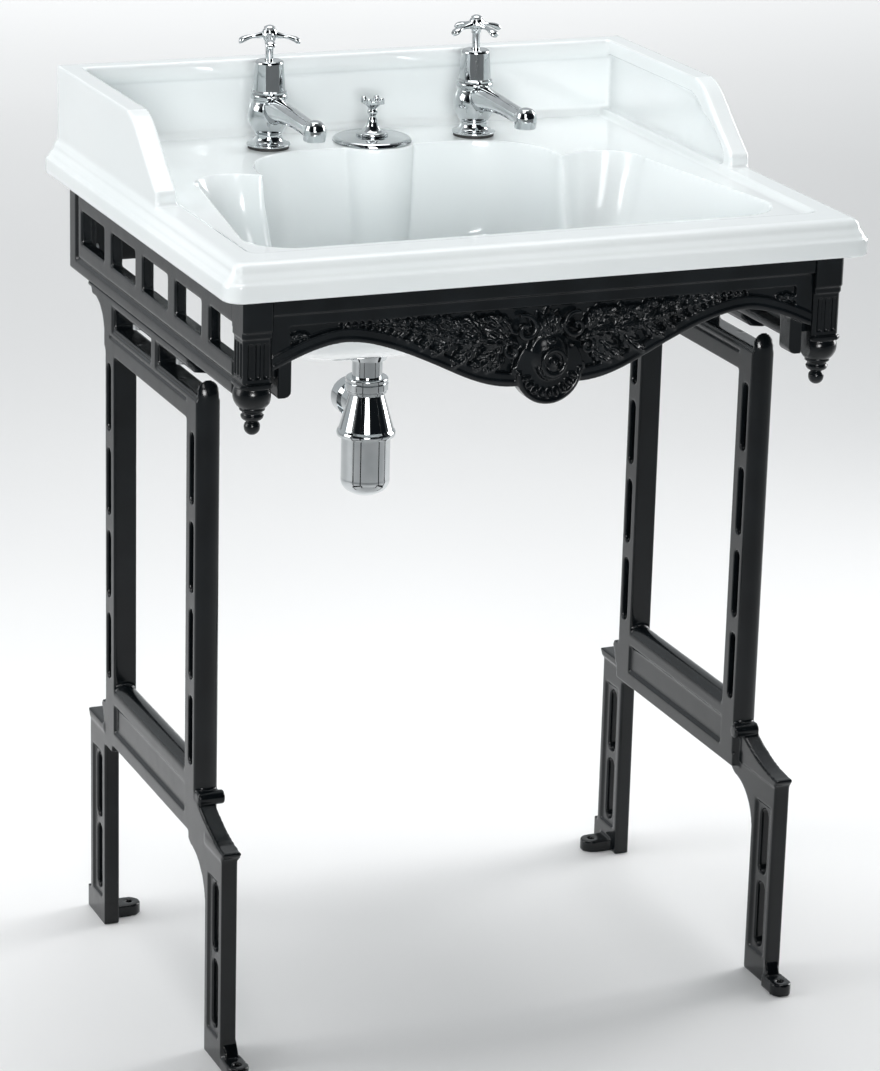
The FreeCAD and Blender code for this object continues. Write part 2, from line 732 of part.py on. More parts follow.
def floor_lugs():
    (fx, fy), (rx, ry) = lug_places()
    h = lug_thickness
    front = plan_prism([(fx - 10.0, front_leg_y + 2.0), (fx - lug_r + 1.0, fy),
                        ("via", (fx, fy - lug_r), (fx + lug_r - 1.0, fy)), (fx + 10.0, front_leg_y + 2.0)],
                       0, h)
    rear = plan_prism([(leg_inner_x + 2.0, ry + lug_r), (rx, ry + lug_r),
                       ("via", (rx - lug_r, ry), (rx, ry - lug_r)), (leg_inner_x + 2.0, ry - lug_r)], 0, h)
    front_rib = side_prism([(front_leg_y + 2.0, h - 1.0), (front_leg_y - 6.0, h - 1.0),
                            ("via", (front_leg_y - 2.0, h + 9.0), (front_leg_y + 2.0, h + 14.0))],
                           fx - 7.0, fx + 7.0)
    heel = box(leg_inner_x, stand_outer_x, rear_leg_y - 2.0, rear_leg_y + 8.0, 0, 24.0)
    return [front, rear, front_rib, heel]


def leg_frame_cuts():
    """Openwork: slots through the uprights, the top rail and the lower legs."""
    x0, x1 = stand_inner_x - 3.0, stand_outer_x + 3.0
    recess = 2.5
    cuts = []
    slot_z = crossbar_top_z + crossbar_roof + 3.0
    slot_run = top_rail_bottom_z - 10.0 - slot_z
    length = (slot_run - (upright_slots - 1) * slot_bridge) / upright_slots
    for y_front in (front_upright_y, rear_upright_y - upright_depth):
        y = y_front + upright_depth / 2
        for i in range(upright_slots):
            z = slot_z + i * (length + slot_bridge)
            cuts.append(slot_cutter(y, z, z + length, slot_width, x0, x1))
    leg_z0, leg_z1 = 34.0, crossbar_bottom_z - 26.0
    leg_length = (leg_z1 - leg_z0 - (leg_slots - 1) * slot_bridge * 0.5) / leg_slots
    for y_front in (front_leg_y, rear_leg_y - lower_leg_depth):
        y0, y1 = y_front + 9.0, y_front + lower_leg_depth - 9.0
        for face in (leg_inner_x, stand_outer_x):
            cuts.append(box(face - recess, face + recess, y0, y1, leg_z0 - 6.0, leg_z1 + 6.0))
        for i in range(leg_slots):
            z = leg_z0 + i * (leg_length + slot_bridge * 0.5)
            cuts.append(slot_cutter((y0 + y1) / 2, z, z + leg_length, slot_width + 4.0, x0, x1))
    z0, z1 = top_rail_bottom_z + 29.0, top_rail_bottom_z + 49.0
    window_front, window_rear = front_upright_y + 7.0, rear_upright_y - 30.0
    mullion_y = (window_front + window_rear) / 2
    for y0, y1 in ((window_front, mullion_y - 10.5), (mullion_y + 10.5, window_rear)):
        cuts.append(box(x0, x1, y0, y1, z0, z1))
        for face in (stand_inner_x, stand_outer_x):
            cuts.append(box(face - 1.5, face + 1.5, y0 - 4.0, y1 + 4.0, z0 - 5.0, z1 + 3.0))
    for face in (stand_inner_x, stand_outer_x):
        cuts.append(box(face - 2.0, face + 2.0, front_upright_y + upright_depth, rear_upright_y - 18.0,
                        z0 - 12.0, z0 - 8.5))
    for y in rail_screw_places():
        cuts.append(upright_cylinder(screw_r + screw_clearance, z0 - 1, rail_bottom_z + 1, rail_mid_x, y))
    for x, y in lug_places():
        cuts.append(upright_cylinder(floor_screw_r, -1, lug_thickness + 20.0, x, y))
    return cuts


def make_leg_frames():
    front_plan = upright_plan(front_upright_y, True)
    rear_plan = upright_plan(rear_upright_y - upright_depth, False)
    foot_z = crossbar_bottom_z + 1.0
    parts = [plan_prism(front_plan, foot_z, rail_bottom_z - upright_depth),
             plan_prism(rear_plan, foot_z, top_rail_bottom_z + 2.0),
             curl(), top_rail(), crossbar(), cap_bar(), front_swoop(), rear_knuckle(),
             lower_leg(front_leg_y), lower_leg(rear_leg_y - lower_leg_depth)]
    parts += leg_brackets() + floor_lugs()
    frame = fuse(parts)
    add_pair("leg_frame", single(frame.cut(leg_frame_cuts())))


# ---------------------------------------------------------------- stand: rear rail, posts, apron

def rear_screw_y():
    return rail_rear_y - 12.0 - 11.0


def rear_screw_heights():
    return (rail_bottom_z + 22.0, rail_top_z - 22.0)


def make_rear_rail():
    half = rail_inner_x
    web = box(-half, half, rail_rear_y - 10.0, rail_rear_y, rail_bottom_z + 4.0, rail_top_z - 4.0)
    tab_x = half - 8.0
    tab = box(tab_x, half, rail_rear_y - 36.0, rail_rear_y - 9.0, rail_bottom_z + rail_flange + 1.0,
              rail_top_z - rail_flange - 1.0)
    rail = web.fuse([tab, mirrored(tab)])
    cuts = [rod(screw_r + screw_clearance, Vec(side * (half - 20.0), rear_screw_y(), z),
                Vec(side * (half + 1.0), rear_screw_y(), z))
            for side, _ in SIDES for z in rear_screw_heights()]
    inner = rail_flange_x - 1.0
    for side, _ in SIDES:
        for z0, z1 in ((rail_bottom_z - 1, rail_bottom_z + rail_flange + 1.0),
                       (rail_top_z - rail_flange - 1.0, rail_top_z + 1)):
            cuts.append(box(side * inner, side * (half + 1), rail_rear_y - 40.0, rail_rear_y + 1, z0, z1))
    z = (rail_bottom_z + rail_top_z) / 2
    for side, _ in SIDES:
        cuts.append(rod(wall_screw_r, Vec(side * wall_screw_x, rail_rear_y - 20, z),
                        Vec(side * wall_screw_x, rail_rear_y + 1, z)))
    rail = rail.cut(cuts)
    add("rear_rail", single(rail.removeSplitter()))


def post_screw_x():
    return (rail_inner_x + rail_flange_x) / 2


def post_screw_heights():
    return (rail_bottom_z + 34.0, rail_top_z - 26.0)


def chamfered_square(half_x, half_y, chamfer):
    return [(-half_x, -half_y + chamfer), (-half_x + chamfer, -half_y), (half_x - chamfer, -half_y),
            (half_x, -half_y + chamfer), (half_x, half_y - chamfer), (half_x - chamfer, half_y),
            (-half_x + chamfer, half_y), (-half_x, half_y - chamfer)]


def post_layer(half_x, half_y, chamfer, z0, z1):
    points = [(post_x + x, post_y + y) for x, y in chamfered_square(half_x, half_y, chamfer)]
    return plan_prism(points, z0, z1)


def make_posts():
    half_x, half_y = post_width / 2, post_depth / 2
    block = post_block / 2
    block_z = rail_top_z - post_block_height
    shaft_z = block_z - post_shaft_height
    bottom_z = shaft_z - post_cushion_height
    stop_y = rail_front_y - post_y
    layers = [post_layer(block, half_y + 3.0, 3.0, block_z + 6.0, rail_top_z),
              post_layer(half_x + 1.0, half_y + 1.0, 3.0, block_z, block_z + 6.0),
              post_layer(half_x, half_y, 3.0, shaft_z, block_z),
              post_layer(half_x + 2.5, half_y + 2.5, 5.0, shaft_z - 4.0, shaft_z),
              turned([(0, bottom_z), (13.0, bottom_z), ("via", (18.0, bottom_z + 9.0), (15.5, shaft_z - 3.0)),
                      (0, shaft_z - 3.0)], post_x, post_y)]
    post = fuse(layers)
    behind = box(0, basin_width, post_y + stop_y, 0, 0, deck_z)
    beside = box(0, post_x - half_x, -basin_depth, 0, 0, deck_z)
    flutes = []
    for i in (-1, 0, 1):
        z0, z1 = shaft_z + 5.0, block_z - 5.0
        r = 2.6
        flutes.append(rod(r, Vec(post_x + i * 7.6, post_y - half_y - 0.4, z0),
                          Vec(post_x + i * 7.6, post_y - half_y - 0.4, z1)))
        flutes.append(rod(r, Vec(post_x + half_x + 0.4, post_y + i * 7.6, z0),
                          Vec(post_x + half_x + 0.4, post_y + i * 7.6, z1)))
    holes = [upright_cylinder(pendant_stud_r + thread_gap, bottom_z - 1, bottom_z + pendant_stud_length + 1,
                              post_x, post_y)]
    for z in post_screw_heights():
        holes.append(rod(screw_r + screw_clearance, Vec(post_screw_x(), rail_front_y + 1, z),
                         Vec(post_screw_x(), rail_front_y - blind_depth, z)))
    for z in apron_screw_heights():
        holes.append(rod(screw_r + screw_clearance, Vec(post_x - half_x - 1, apron_screw_y(), z),
                         Vec(post_x - half_x + blind_depth, apron_screw_y(), z)))
    post = post.cut([behind, beside] + flutes + holes)
    add_pair("corner_post", single(post))

    tip = bottom_z - pendant_length
    pendant = turned([(0, bottom_z + pendant_stud_length), (pendant_stud_r, bottom_z + pendant_stud_length),
                      (pendant_stud_r, bottom_z), (12.0, bottom_z), (12.0, bottom_z - 3.0),
                      ("via", (9.4, bottom_z - 5.0), (10.8, bottom_z - 8.0)),
                      ("via", (9.6, bottom_z - 11.0), (5.0, bottom_z - 13.0)), (5.0, tip + 13.0),
                      ("via", (7.3, tip + 10.0), (7.5, tip + 7.5)), dome(7.5, tip + 7.5, tip)],
                     post_x, post_y)
    add_pair("pendant", pendant)


def apron_screw_y():
    return apron_front_y + apron_thickness + 8.0


def apron_screw_heights():
    return (rail_top_z - 14.0, rail_top_z - 40.0)


def apron_lower_edge(lift, y):
    """Half of the serpentine lower edge, from the post to the cartouche, as one smooth curve."""
    end_rise, centre_rise = apron_arch_z - apron_end_z, apron_arch_z - apron_centre_z
    shares = [(1.0, apron_end_z), (0.87, apron_end_z + 0.68 * end_rise), (apron_arch_share, apron_arch_z),
              (0.58, apron_arch_z - 9.0), (0.41, apron_centre_z + 0.48 * centre_rise),
              (0.255, apron_centre_z + 0.13 * centre_rise), (0.1, apron_centre_z)]
    points = [(share * apron_end_x, z) for share, z in shares]
    curve = Part.BSplineCurve()
    curve.interpolate([Vec(x, y, z + lift) for x, z in points])
    return curve.toShape(), points[0][0], points[-1][0]


def apron_sheet(lift, top_z, y0, y1):
    """Right half of the apron between its serpentine edge and top_z, from y0 to y1."""
    edge, outer_x, inner_x = apron_lower_edge(lift, y0)
    z_in = apron_centre_z + lift
    z_out = apron_end_z + lift
    walls = [edge, Part.makeLine(Vec(inner_x, y0, z_in), Vec(0, y0, z_in)),
             Part.makeLine(Vec(0, y0, z_in), Vec(0, y0, top_z)),
             Part.makeLine(Vec(0, y0, top_z), Vec(outer_x, y0, top_z)),
             Part.makeLine(Vec(outer_x, y0, top_z), Vec(outer_x, y0, z_out))]
    return Part.Face(Part.Wire(Part.__sortEdges__(walls))).extrude(Vec(0, y1 - y0, 0))


def leaf(x, z, length, width, angle, y):
    """One raised leaf lobe of the relief: a flattened ball, turned in the plane of the apron."""
    lobe = ball(1.0, Vec(0, 0, 0))
    stretch = FreeCAD.Matrix()
    stretch.scale(length / 2, 4.0, width / 2)
    lobe = lobe.transformGeometry(stretch)
    lobe.rotate(Vec(0, 0, 0), Vec(0, -1, 0), angle)
    lobe.translate(Vec(x, y, z))
    return lobe


def relief(field_y):
    """Foliage of the right half: sprays of lobes along a vine that thins towards the post."""
    lobes = []
    sprays = 6
    for i in range(sprays):
        share = i / (sprays - 1)
        x = 52.0 + 118.0 * share
        middle = apron_centre_z + apron_moulding + 36.0 + 14.0 * share
        size = 24.0 - 12.0 * share
        for j in (-1, 0, 1):
            angle = 35.0 + 55.0 * j + 20.0 * math.sin(3.0 * i)
            dx = 0.5 * size * math.cos(math.radians(angle))
            dz = 0.5 * size * math.sin(math.radians(angle))
            lobes.append(leaf(x + dx, middle + dz * (1.0 - 0.4 * share), size, size * 0.42, angle, field_y))
    return lobes


def make_front_apron():
    y0 = apron_front_y
    back = y0 + apron_thickness
    field_y = y0 + apron_field_recess
    top = rail_top_z
    band_z = top - apron_fascia_height - apron_band_height
    end_x = apron_end_x
    half = [apron_sheet(0, top, field_y, back),
            apron_sheet(0, top, y0 - 1.0, back).cut(apron_sheet(apron_moulding, top, y0 - 2.0, back + 1.0)),
            box(0, end_x, y0 - 4.0, back, top - apron_fascia_height, top),
            box(0, end_x, y0, back, band_z, top - apron_fascia_height - 2.0),
            box(end_x - 18.0, end_x, y0, back, apron_end_z + 10.0, top)]
    corbel_x1 = end_x - corbel_inset
    corbel_x0 = corbel_x1 - corbel_width
    corbel_top_z = apron_end_z + 16.0
    half.append(front_prism([(corbel_x0, corbel_top_z), (corbel_x0, corbel_bottom_z + 6.0),
                             ("via", (corbel_x0 + 2.0, corbel_bottom_z + 1.8),
                              (corbel_x0 + 7.0, corbel_bottom_z)),
                             (corbel_x1, corbel_bottom_z), (corbel_x1, corbel_top_z)], y0 + 3.0,
                            y0 + 3.0 + corbel_depth))
    half.append(box(end_x - 8.0, end_x, back - 1.0, back + 17.0, apron_end_z - 8.0, top))
    half += relief(field_y)
    right = fuse(half)
    apron = right.fuse(mirrored(right))
    centre = Vec(0, back, cartouche_z)
    disc = rod(cartouche_r, centre, Vec(0, y0 - 3.0, cartouche_z))
    boss = rod(14.0, centre, Vec(0, y0 - 8.0, cartouche_z + 5.0)).fuse(
        ball(8.0, Vec(0, y0 - 7.0, cartouche_z + 5.0)))
    crest = rod(9.0, Vec(0, back, cartouche_z + 42.0), Vec(0, y0 - 4.0, cartouche_z + 42.0))
    scroll = [leaf(side * 25.0, cartouche_z + 30.0, 40.0, 16.0, 60.0 * side, y0 + 1.0) for side, _ in SIDES]
    apron = apron.fuse([disc, boss, crest] + scroll)
    cuts = [rod(screw_r + screw_clearance, Vec(side * (end_x - 9.0), apron_screw_y(), z),
                Vec(side * (end_x + 1.0), apron_screw_y(), z))
            for side, _ in SIDES for z in apron_screw_heights()]
    add("front_apron", single(apron.cut(cuts).removeSplitter()))


def screw(start, direction, length):
    """Cap screw: head seated on start, shank running on along direction."""
    shank = rod(screw_r, start, start + direction * length)
    head = rod(screw_head_r, start - direction * screw_head_height, start)
    socket = rod(screw_r * 0.8, start - direction * (screw_head_height + 1.0), start - direction * 2.0)
    return head.cut(socket).fuse(shank)


def make_stand_screws():
    slot_top = top_rail_bottom_z + 49.0
    leg = [screw(Vec(side * rail_mid_x, y, slot_top), UP, rail_bottom_z + blind_depth - 1.0 - slot_top)
           for side, _ in SIDES for y in rail_screw_places()]
    add("leg_frame_screws", Part.makeCompound(leg))
    rear = [screw(Vec(side * (rail_inner_x - 8.0), rear_screw_y(), z), Vec(side, 0, 0), blind_depth + 7.0)
            for side, _ in SIDES for z in rear_screw_heights()]
    add("rear_rail_screws", Part.makeCompound(rear))
    post = [screw(Vec(side * post_screw_x(), rail_front_y + 9.0, z), Vec(0, -1, 0), 9.0 + blind_depth - 1.0)
            for side, _ in SIDES for z in post_screw_heights()]
    add("corner_post_screws", Part.makeCompound(post))
    end_x = apron_end_x
    apron = [screw(Vec(side * (end_x - 8.0), apron_screw_y(), z), Vec(side, 0, 0), 8.0 + blind_depth - 1.0)
             for side, _ in SIDES for z in apron_screw_heights()]
    add("front_apron_screws", Part.makeCompound(apron))


# ---------------------------------------------------------------- pillar taps (drawn on the right)

def spout_solid(radius, start_forward):
    """Spout between the body and the nozzle, thickest at the body, as a lofted oval."""
    sections = []
    grow = radius - nozzle_r
    for share, lift, wide, tall in ((0.0, -4.0, 12.5, 15.0), (0.28, 1.0, 10.5, 11.5), (0.6, 1.5, 9.0, 9.0),
                                    (1.0, 0.0, 9.0, 9.5)):
        y = fitting_y - start_forward - share * (spout_reach - start_forward)
        z = deck_z + spout_centre + lift
        centre = Vec(tap_x, y, z)
        ellipse = Part.Ellipse(centre + Vec(0, 0, tall + grow), centre + Vec(wide + grow, 0, 0), centre)
        sections.append(Part.Wire(ellipse.toShape()))
    return Part.makeLoft(sections, True, False)


def make_tap():
    x, y = tap_x, fitting_y
    z = deck_z + washer_thickness
    top = bonnet_bottom_z
    tail_z = z - washer_thickness - tap_tail_length
    neck_z = tail_z + tap_spigot_length
    body = turned([(0, tail_z), (tap_spigot_r, tail_z), (tap_spigot_r, neck_z), (tap_spigot_r - 0.5, neck_z),
                   (tap_spigot_r - 0.5, neck_z + 1.0), (tap_tail_r, neck_z + 1.0),
                   (tap_tail_r, z), (tap_flange_r, z), (tap_flange_r, z + 2.0),
                   ("via", (15.5, z + 5.5), (13.5, z + 12.0)),
                   ("via", (17.0, z + 16.5), (tap_bulb_r - 1.0, z + 25.0)),
                   ("via", (tap_bulb_r, z + 35.0), (tap_bulb_r - 4.0, top - 9.0)),
                   (tap_bulb_r - 4.0, top - 7.0), (tap_bulb_r - 2.5, top - 5.5),
                   (tap_bulb_r - 2.5, top - 2.0), (tap_bulb_r - 4.0, top),
                   (0, top)], x, y)
    nozzle_y = y - spout_reach
    nozzle_top = deck_z + spout_centre + 12.0
    nozzle_bottom = deck_z + spout_centre - nozzle_drop
    nozzle = turned([(0, nozzle_bottom), (nozzle_r, nozzle_bottom), (nozzle_r, nozzle_bottom + 3.0),
                     (nozzle_r - 0.8, nozzle_bottom + 4.0), (nozzle_r - 0.8, nozzle_top - 7.0),
                     dome(nozzle_r - 0.8, nozzle_top - 7.0, nozzle_top)], x, nozzle_y)
    body = fuse([body, spout_solid(nozzle_r, 8.0), nozzle])
    chamber = upright_cylinder(headwork_r + thread_gap, valve_seat_z, top + 1, x, y)
    way = upright_cylinder(7.0, tail_z - 1, valve_seat_z + 1, x, y)
    pipe = rod(spout_bore_r, Vec(x, y, deck_z + spout_centre + 1.0),
               Vec(x, nozzle_y, deck_z + spout_centre + 1.0))
    drop = upright_cylinder(nozzle_r - 2.5, nozzle_bottom - 1, deck_z + spout_centre + 5.0, x, nozzle_y)
    body = single(body.cut([chamber, way, pipe, drop]))
    add_pair("tap_body", body)

    add_pair("tap_bonnet", turned([(headwork_r + thread_gap, top), (bonnet_bottom_r + 1.5, top),
                                   (bonnet_bottom_r + 1.5, top + 1.5), (bonnet_bottom_r, top + 3.0),
                                   (bonnet_top_r, bonnet_top_z - 3.0),
                                   ("via", (bonnet_top_r - 0.9, bonnet_top_z - 0.9),
                                    (bonnet_top_r - 3.0, bonnet_top_z)),
                                   (spindle_r + 1.0, bonnet_top_z),
                                   (spindle_r + 1.0, bonnet_top_z - bonnet_wall),
                                   (bonnet_top_r - bonnet_wall, bonnet_top_z - bonnet_wall),
                                   (bonnet_bottom_r - bonnet_wall, top + 6.0),
                                   (headwork_r + thread_gap, top + 6.0)], x, y))

    stack = valve_seat_z + 2 * valve_disc_height
    head_top = bonnet_top_z - bonnet_wall - 4.0
    headwork = turned([(valve_disc_r + 0.3, valve_seat_z), (headwork_r, valve_seat_z),
                       (headwork_r, top + 8.0),
                       (headwork_r - 1.5, top + 8.0), (headwork_r - 1.5, head_top),
                       (spindle_r + spindle_fit, head_top), (spindle_r + spindle_fit, stack + 4.0),
                       (valve_disc_r + 0.3, stack + 4.0)], x, y)
    port = box(x - 3.0, x + 3.0, y - headwork_r - 1, y, valve_seat_z + valve_disc_height, top - 5.0)
    add_pair("tap_headwork", single(headwork.cut(port)))

    fixed = upright_cylinder(valve_disc_r, valve_seat_z, valve_seat_z + valve_disc_height, x, y)
    opening = box(x - valve_disc_r, x - 1.0, y - 4.0, y + 4.0, valve_seat_z - 1, stack + 1).common(
        upright_cylinder(valve_disc_r - 1.5, valve_seat_z - 1, stack + 1, x, y))
    add_pair("tap_fixed_disc", fixed.cut(opening))
    moving = upright_cylinder(valve_disc_r, valve_seat_z + valve_disc_height, stack, x, y)
    closed_port = opening.copy()
    closed_port.rotate(Vec(x, y, 0), UP, 90)
    add_pair("tap_moving_disc", moving.cut(closed_port))

    hub_z = deck_z + handle_height
    spindle = turned([(0, stack), (valve_disc_r - 1.0, stack), (valve_disc_r - 1.0, stack + 3.5),
                      (spindle_r, stack + 3.5), (spindle_r, hub_z - 4.0), (2.5, hub_z - 4.0),
                      (2.5, hub_z + 5.0), (0, hub_z + 5.0)], x, y)
    add_pair("tap_spindle", spindle)
    add_pair("tap_handle", cross_handle(x, y, hub_z))
    add_pair("tap_index_cap", turned([(0, hub_z + 6.0), (5.6, hub_z + 6.0), (5.6, hub_z + 8.0),
                                      dome(5.6, hub_z + 8.0, hub_z + 10.2)], x, y))


def cross_handle(x, y, hub_z):
    """Four drooping arms with flared tips around a small hub."""
    hub = turned([(0, hub_z - 9.0), (5.0, hub_z - 9.0), (5.0, hub_z - 6.0),
                  ("via", (handle_hub_r, hub_z - 2.0), (handle_hub_r, hub_z + 2.0)),
                  ("via", (handle_hub_r - 0.6, hub_z + 5.0), (6.4, hub_z + 6.0)), (0, hub_z + 6.0)], x, y)
    half = handle_span / 2
    parts = [hub]
    for i in range(4):
        sections = []
        for share, droop, r, tall in ((0.12, 0.0, 3.0, 3.0), (0.4, 0.3, handle_arm_r, handle_arm_r),
                                      (0.7, 0.55, 3.6, 2.6), (0.9, 0.85, handle_tip_r, 3.4),
                                      (1.0, 1.0, 3.0, 2.2)):
            centre = Vec(half * share, 0, hub_z + 1.5 - handle_droop * droop)
            wide_end = centre + Vec(0, r, 0)
            tall_end = centre + Vec(0, 0, tall)
            major, minor = (wide_end, tall_end) if r > tall else (tall_end, wide_end)
            edge = Part.Circle(centre, Vec(1, 0, 0), r) if r == tall else Part.Ellipse(major, minor, centre)
            sections.append(Part.Wire(edge.toShape()))
        arm = Part.makeLoft(sections, True, False)
        arm.rotate(Vec(0, 0, 0), UP, 90 * i + 18.0)
        arm.translate(Vec(x, y, 0))
        parts.append(arm)
    handle = fuse(parts)
    bore = upright_cylinder(spindle_r, hub_z - 10.0, hub_z - 4.0, x, y)
    neck = upright_cylinder(2.5, hub_z - 5.0, hub_z + 5.0, x, y)
    return single(handle.cut([bore, neck]))


def make_tap_fixings():
    nut_z = deck_z - deck_thickness
    gaskets, washers, nuts = [], [], []
    for side, _ in SIDES:
        x = side * tap_x
        gaskets.append(ring(tap_tail_r, tap_flange_r - 1.5, deck_z, deck_z + washer_thickness, x, fitting_y))
        washers.append(ring(tap_tail_r, 15.8, nut_z - washer_thickness, nut_z, x, fitting_y))
        nut = hexagon(15.5, nut_z - washer_thickness - 8.0, nut_z - washer_thickness, x, fitting_y)
        nuts.append(nut.cut(upright_cylinder(tap_tail_r, nut_z - 20.0, nut_z, x, fitting_y)))
    add("tap_base_gaskets", Part.makeCompound(gaskets))
    add("tap_washers", Part.makeCompound(washers))
    add("tap_backnuts", Part.makeCompound(nuts))


# ---------------------------------------------------------------- plunger waste

def make_escutcheon():
    z = deck_z
    top = z + guide_height
    body = turned([(0, z), (escutcheon_r - 1.0, z), (escutcheon_r, z + 1.0),
                   ("via", (escutcheon_r - 2.0, z + escutcheon_height - 0.5),
                    (escutcheon_r - 6.0, z + escutcheon_height)),
                   (collar_r + 1.0, z + escutcheon_height + 1.5),
                   ("via", (collar_r + 1.5, z + escutcheon_height + 4.0),
                    (collar_r - 1.5, z + escutcheon_height + 5.0)),
                   (11.5, z + escutcheon_height + 5.5),
                   ("via", (8.2, z + escutcheon_height + 9.0), (guide_top_r, top - 2.0)),
                   (guide_top_r - 0.8, top), (0, top)],
                  0, fitting_y)
    spigot = ring(well_bore_r - 5.0, well_bore_r - 1.5, z - 8.0, z + 1.0, 0, fitting_y)
    body = body.fuse(spigot)
    guide = upright_cylinder(rod_r + rod_fit, z - 1, top + 1, 0, fitting_y)
    catch = upright_cylinder(catch_bore_r, z + catch_ledge, z + catch_ledge + 7.0, 0, fitting_y)
    key = box(-catch_pin_half - 0.6, catch_pin_half + 0.6, fitting_y - catch_pin_r - 0.4,
              fitting_y + catch_pin_r + 0.4, z - 1, z + catch_ledge + 1)
    add("waste_escutcheon", single(body.cut([guide, catch, key]).removeSplitter()))


def rod_top_z():
    return deck_z + knob_height - 10.0


def make_knob():
    """Flared knob with four rounded lobes around its top, on a turned neck with a bead."""
    top = deck_z + knob_height
    z = deck_z + guide_height + 0.5
    lobe_r = 3.2
    rim_r = knob_r - lobe_r
    lobe_foot = top - 6.5
    neck = turned([(0, z), (3.6, z), (3.6, z + 1.5), ("via", (5.4, z + 5.0), (3.8, z + 8.5)),
                   (rim_r, lobe_foot), (rim_r, top - 3.2), (0, top - 3.2)], 0, fitting_y)
    lobes = []
    for i in range(4):
        angle = math.radians(45 + 90 * i)
        x = rim_r * math.cos(angle)
        y = fitting_y + rim_r * math.sin(angle)
        lobes.append(turned([(0, lobe_foot), (lobe_r, lobe_foot), (lobe_r, top - 1.2), (lobe_r - 1.2, top),
                             (0, top)], x, y))
    bore = upright_cylinder(rod_r, z - 1, rod_top_z(), 0, fitting_y)
    add("waste_knob", single(fuse([neck] + lobes).cut(bore)))


def make_plunger():
    """Lift rod with its catch pin, the standpipe it lifts and the plug seal."""
    seat_z = well_floor_z + waste_flange_height
    bridge_z = seat_z + plug_height + 24.0
    pin_z = deck_z + catch_ledge + catch_pin_r + 0.3 - waste_lift
    rod_bottom = bridge_z - 6.0
    lift_rod = upright_cylinder(rod_r, rod_bottom, rod_top_z(), 0, fitting_y)
    pin = rod(catch_pin_r, Vec(-catch_pin_half, fitting_y, pin_z), Vec(catch_pin_half, fitting_y, pin_z))
    foot = upright_cylinder(rod_r + 2.0, rod_bottom - 2.5, rod_bottom, 0, fitting_y)
    add("waste_lift_rod", lift_rod.fuse([pin, foot]).removeSplitter())

    pipe_top = deck_z - overflow_gap
    pipe = ring(standpipe_r - standpipe_wall, standpipe_r, seat_z + plug_height, pipe_top, 0, fitting_y)
    plug = turned([(0, seat_z - 4.0), (waste_bore_r - 1.0, seat_z - 4.0), (waste_bore_r - 1.0, seat_z + 0.3),
                   (plug_r - 1.0, seat_z + 0.3 + seal_thickness), (plug_r - 1.0, seat_z + plug_height),
                   (0, seat_z + plug_height)], 0, fitting_y)
    bridge = box(-standpipe_r + 0.8, standpipe_r - 0.8, fitting_y - 4.5, fitting_y + 4.5,
                 bridge_z, bridge_z + 4.0)
    bridge = bridge.common(upright_cylinder(standpipe_r - 0.5, bridge_z, bridge_z + 4.0, 0, fitting_y))
    bridge = bridge.fuse(ring(rod_r + rod_fit, 5.5, bridge_z - 5.0, bridge_z + 4.0, 0, fitting_y))
    standpipe = fuse([pipe, plug, bridge])
    drain_r = standpipe_r - standpipe_wall - 1.5
    drain = upright_cylinder(drain_r, seat_z - 5.0, seat_z + plug_height + 1, 0, fitting_y)
    guide = upright_cylinder(rod_r + rod_fit, bridge_z - 6.0, bridge_z + 5.0, 0, fitting_y)
    add("waste_standpipe", single(standpipe.cut([drain, guide]).removeSplitter()))
    seal_z = seat_z + 0.3
    add("waste_plug_seal", turned([(waste_bore_r - 0.9, seal_z), (plug_r - 1.5, seal_z),
                                   (plug_r, seal_z + 1.2), (plug_r - 0.5, seal_z + seal_thickness - 0.1),
                                   (plug_r - 0.9, seal_z + seal_thickness - 0.1)], 0, fitting_y))


def make_waste():
    seat = well_floor_z
    body = turned([(waste_bore_r, waste_tail_end_z), (waste_tube_r, waste_tail_end_z), (waste_tube_r, seat),
                   (waste_flange_r, seat), (waste_flange_r, seat + 1.5),
                   (waste_flange_r - 3.0, seat + waste_flange_height),
                   (waste_bore_r + 1.0, seat + waste_flange_height),
                   (waste_bore_r, seat + waste_flange_height - 1.0)],
                  0, fitting_y)
    add("waste_body", body)
    z = outlet_face_z
    nut_bore = waste_tube_r + thread_gap
    add("waste_washer", ring(nut_bore, outlet_boss_r - 6.0, z - washer_thickness, z, 0, fitting_y))
    nut = turned([(nut_bore, z - washer_thickness - backnut_height),
                  (waste_tube_r + 4.0, z - washer_thickness - backnut_height),
                  (backnut_r, z - washer_thickness - 4.0), (backnut_r, z - washer_thickness),
                  (nut_bore, z - washer_thickness)], 0, fitting_y)
    add("waste_backnut", nut)


# ---------------------------------------------------------------- bottle trap

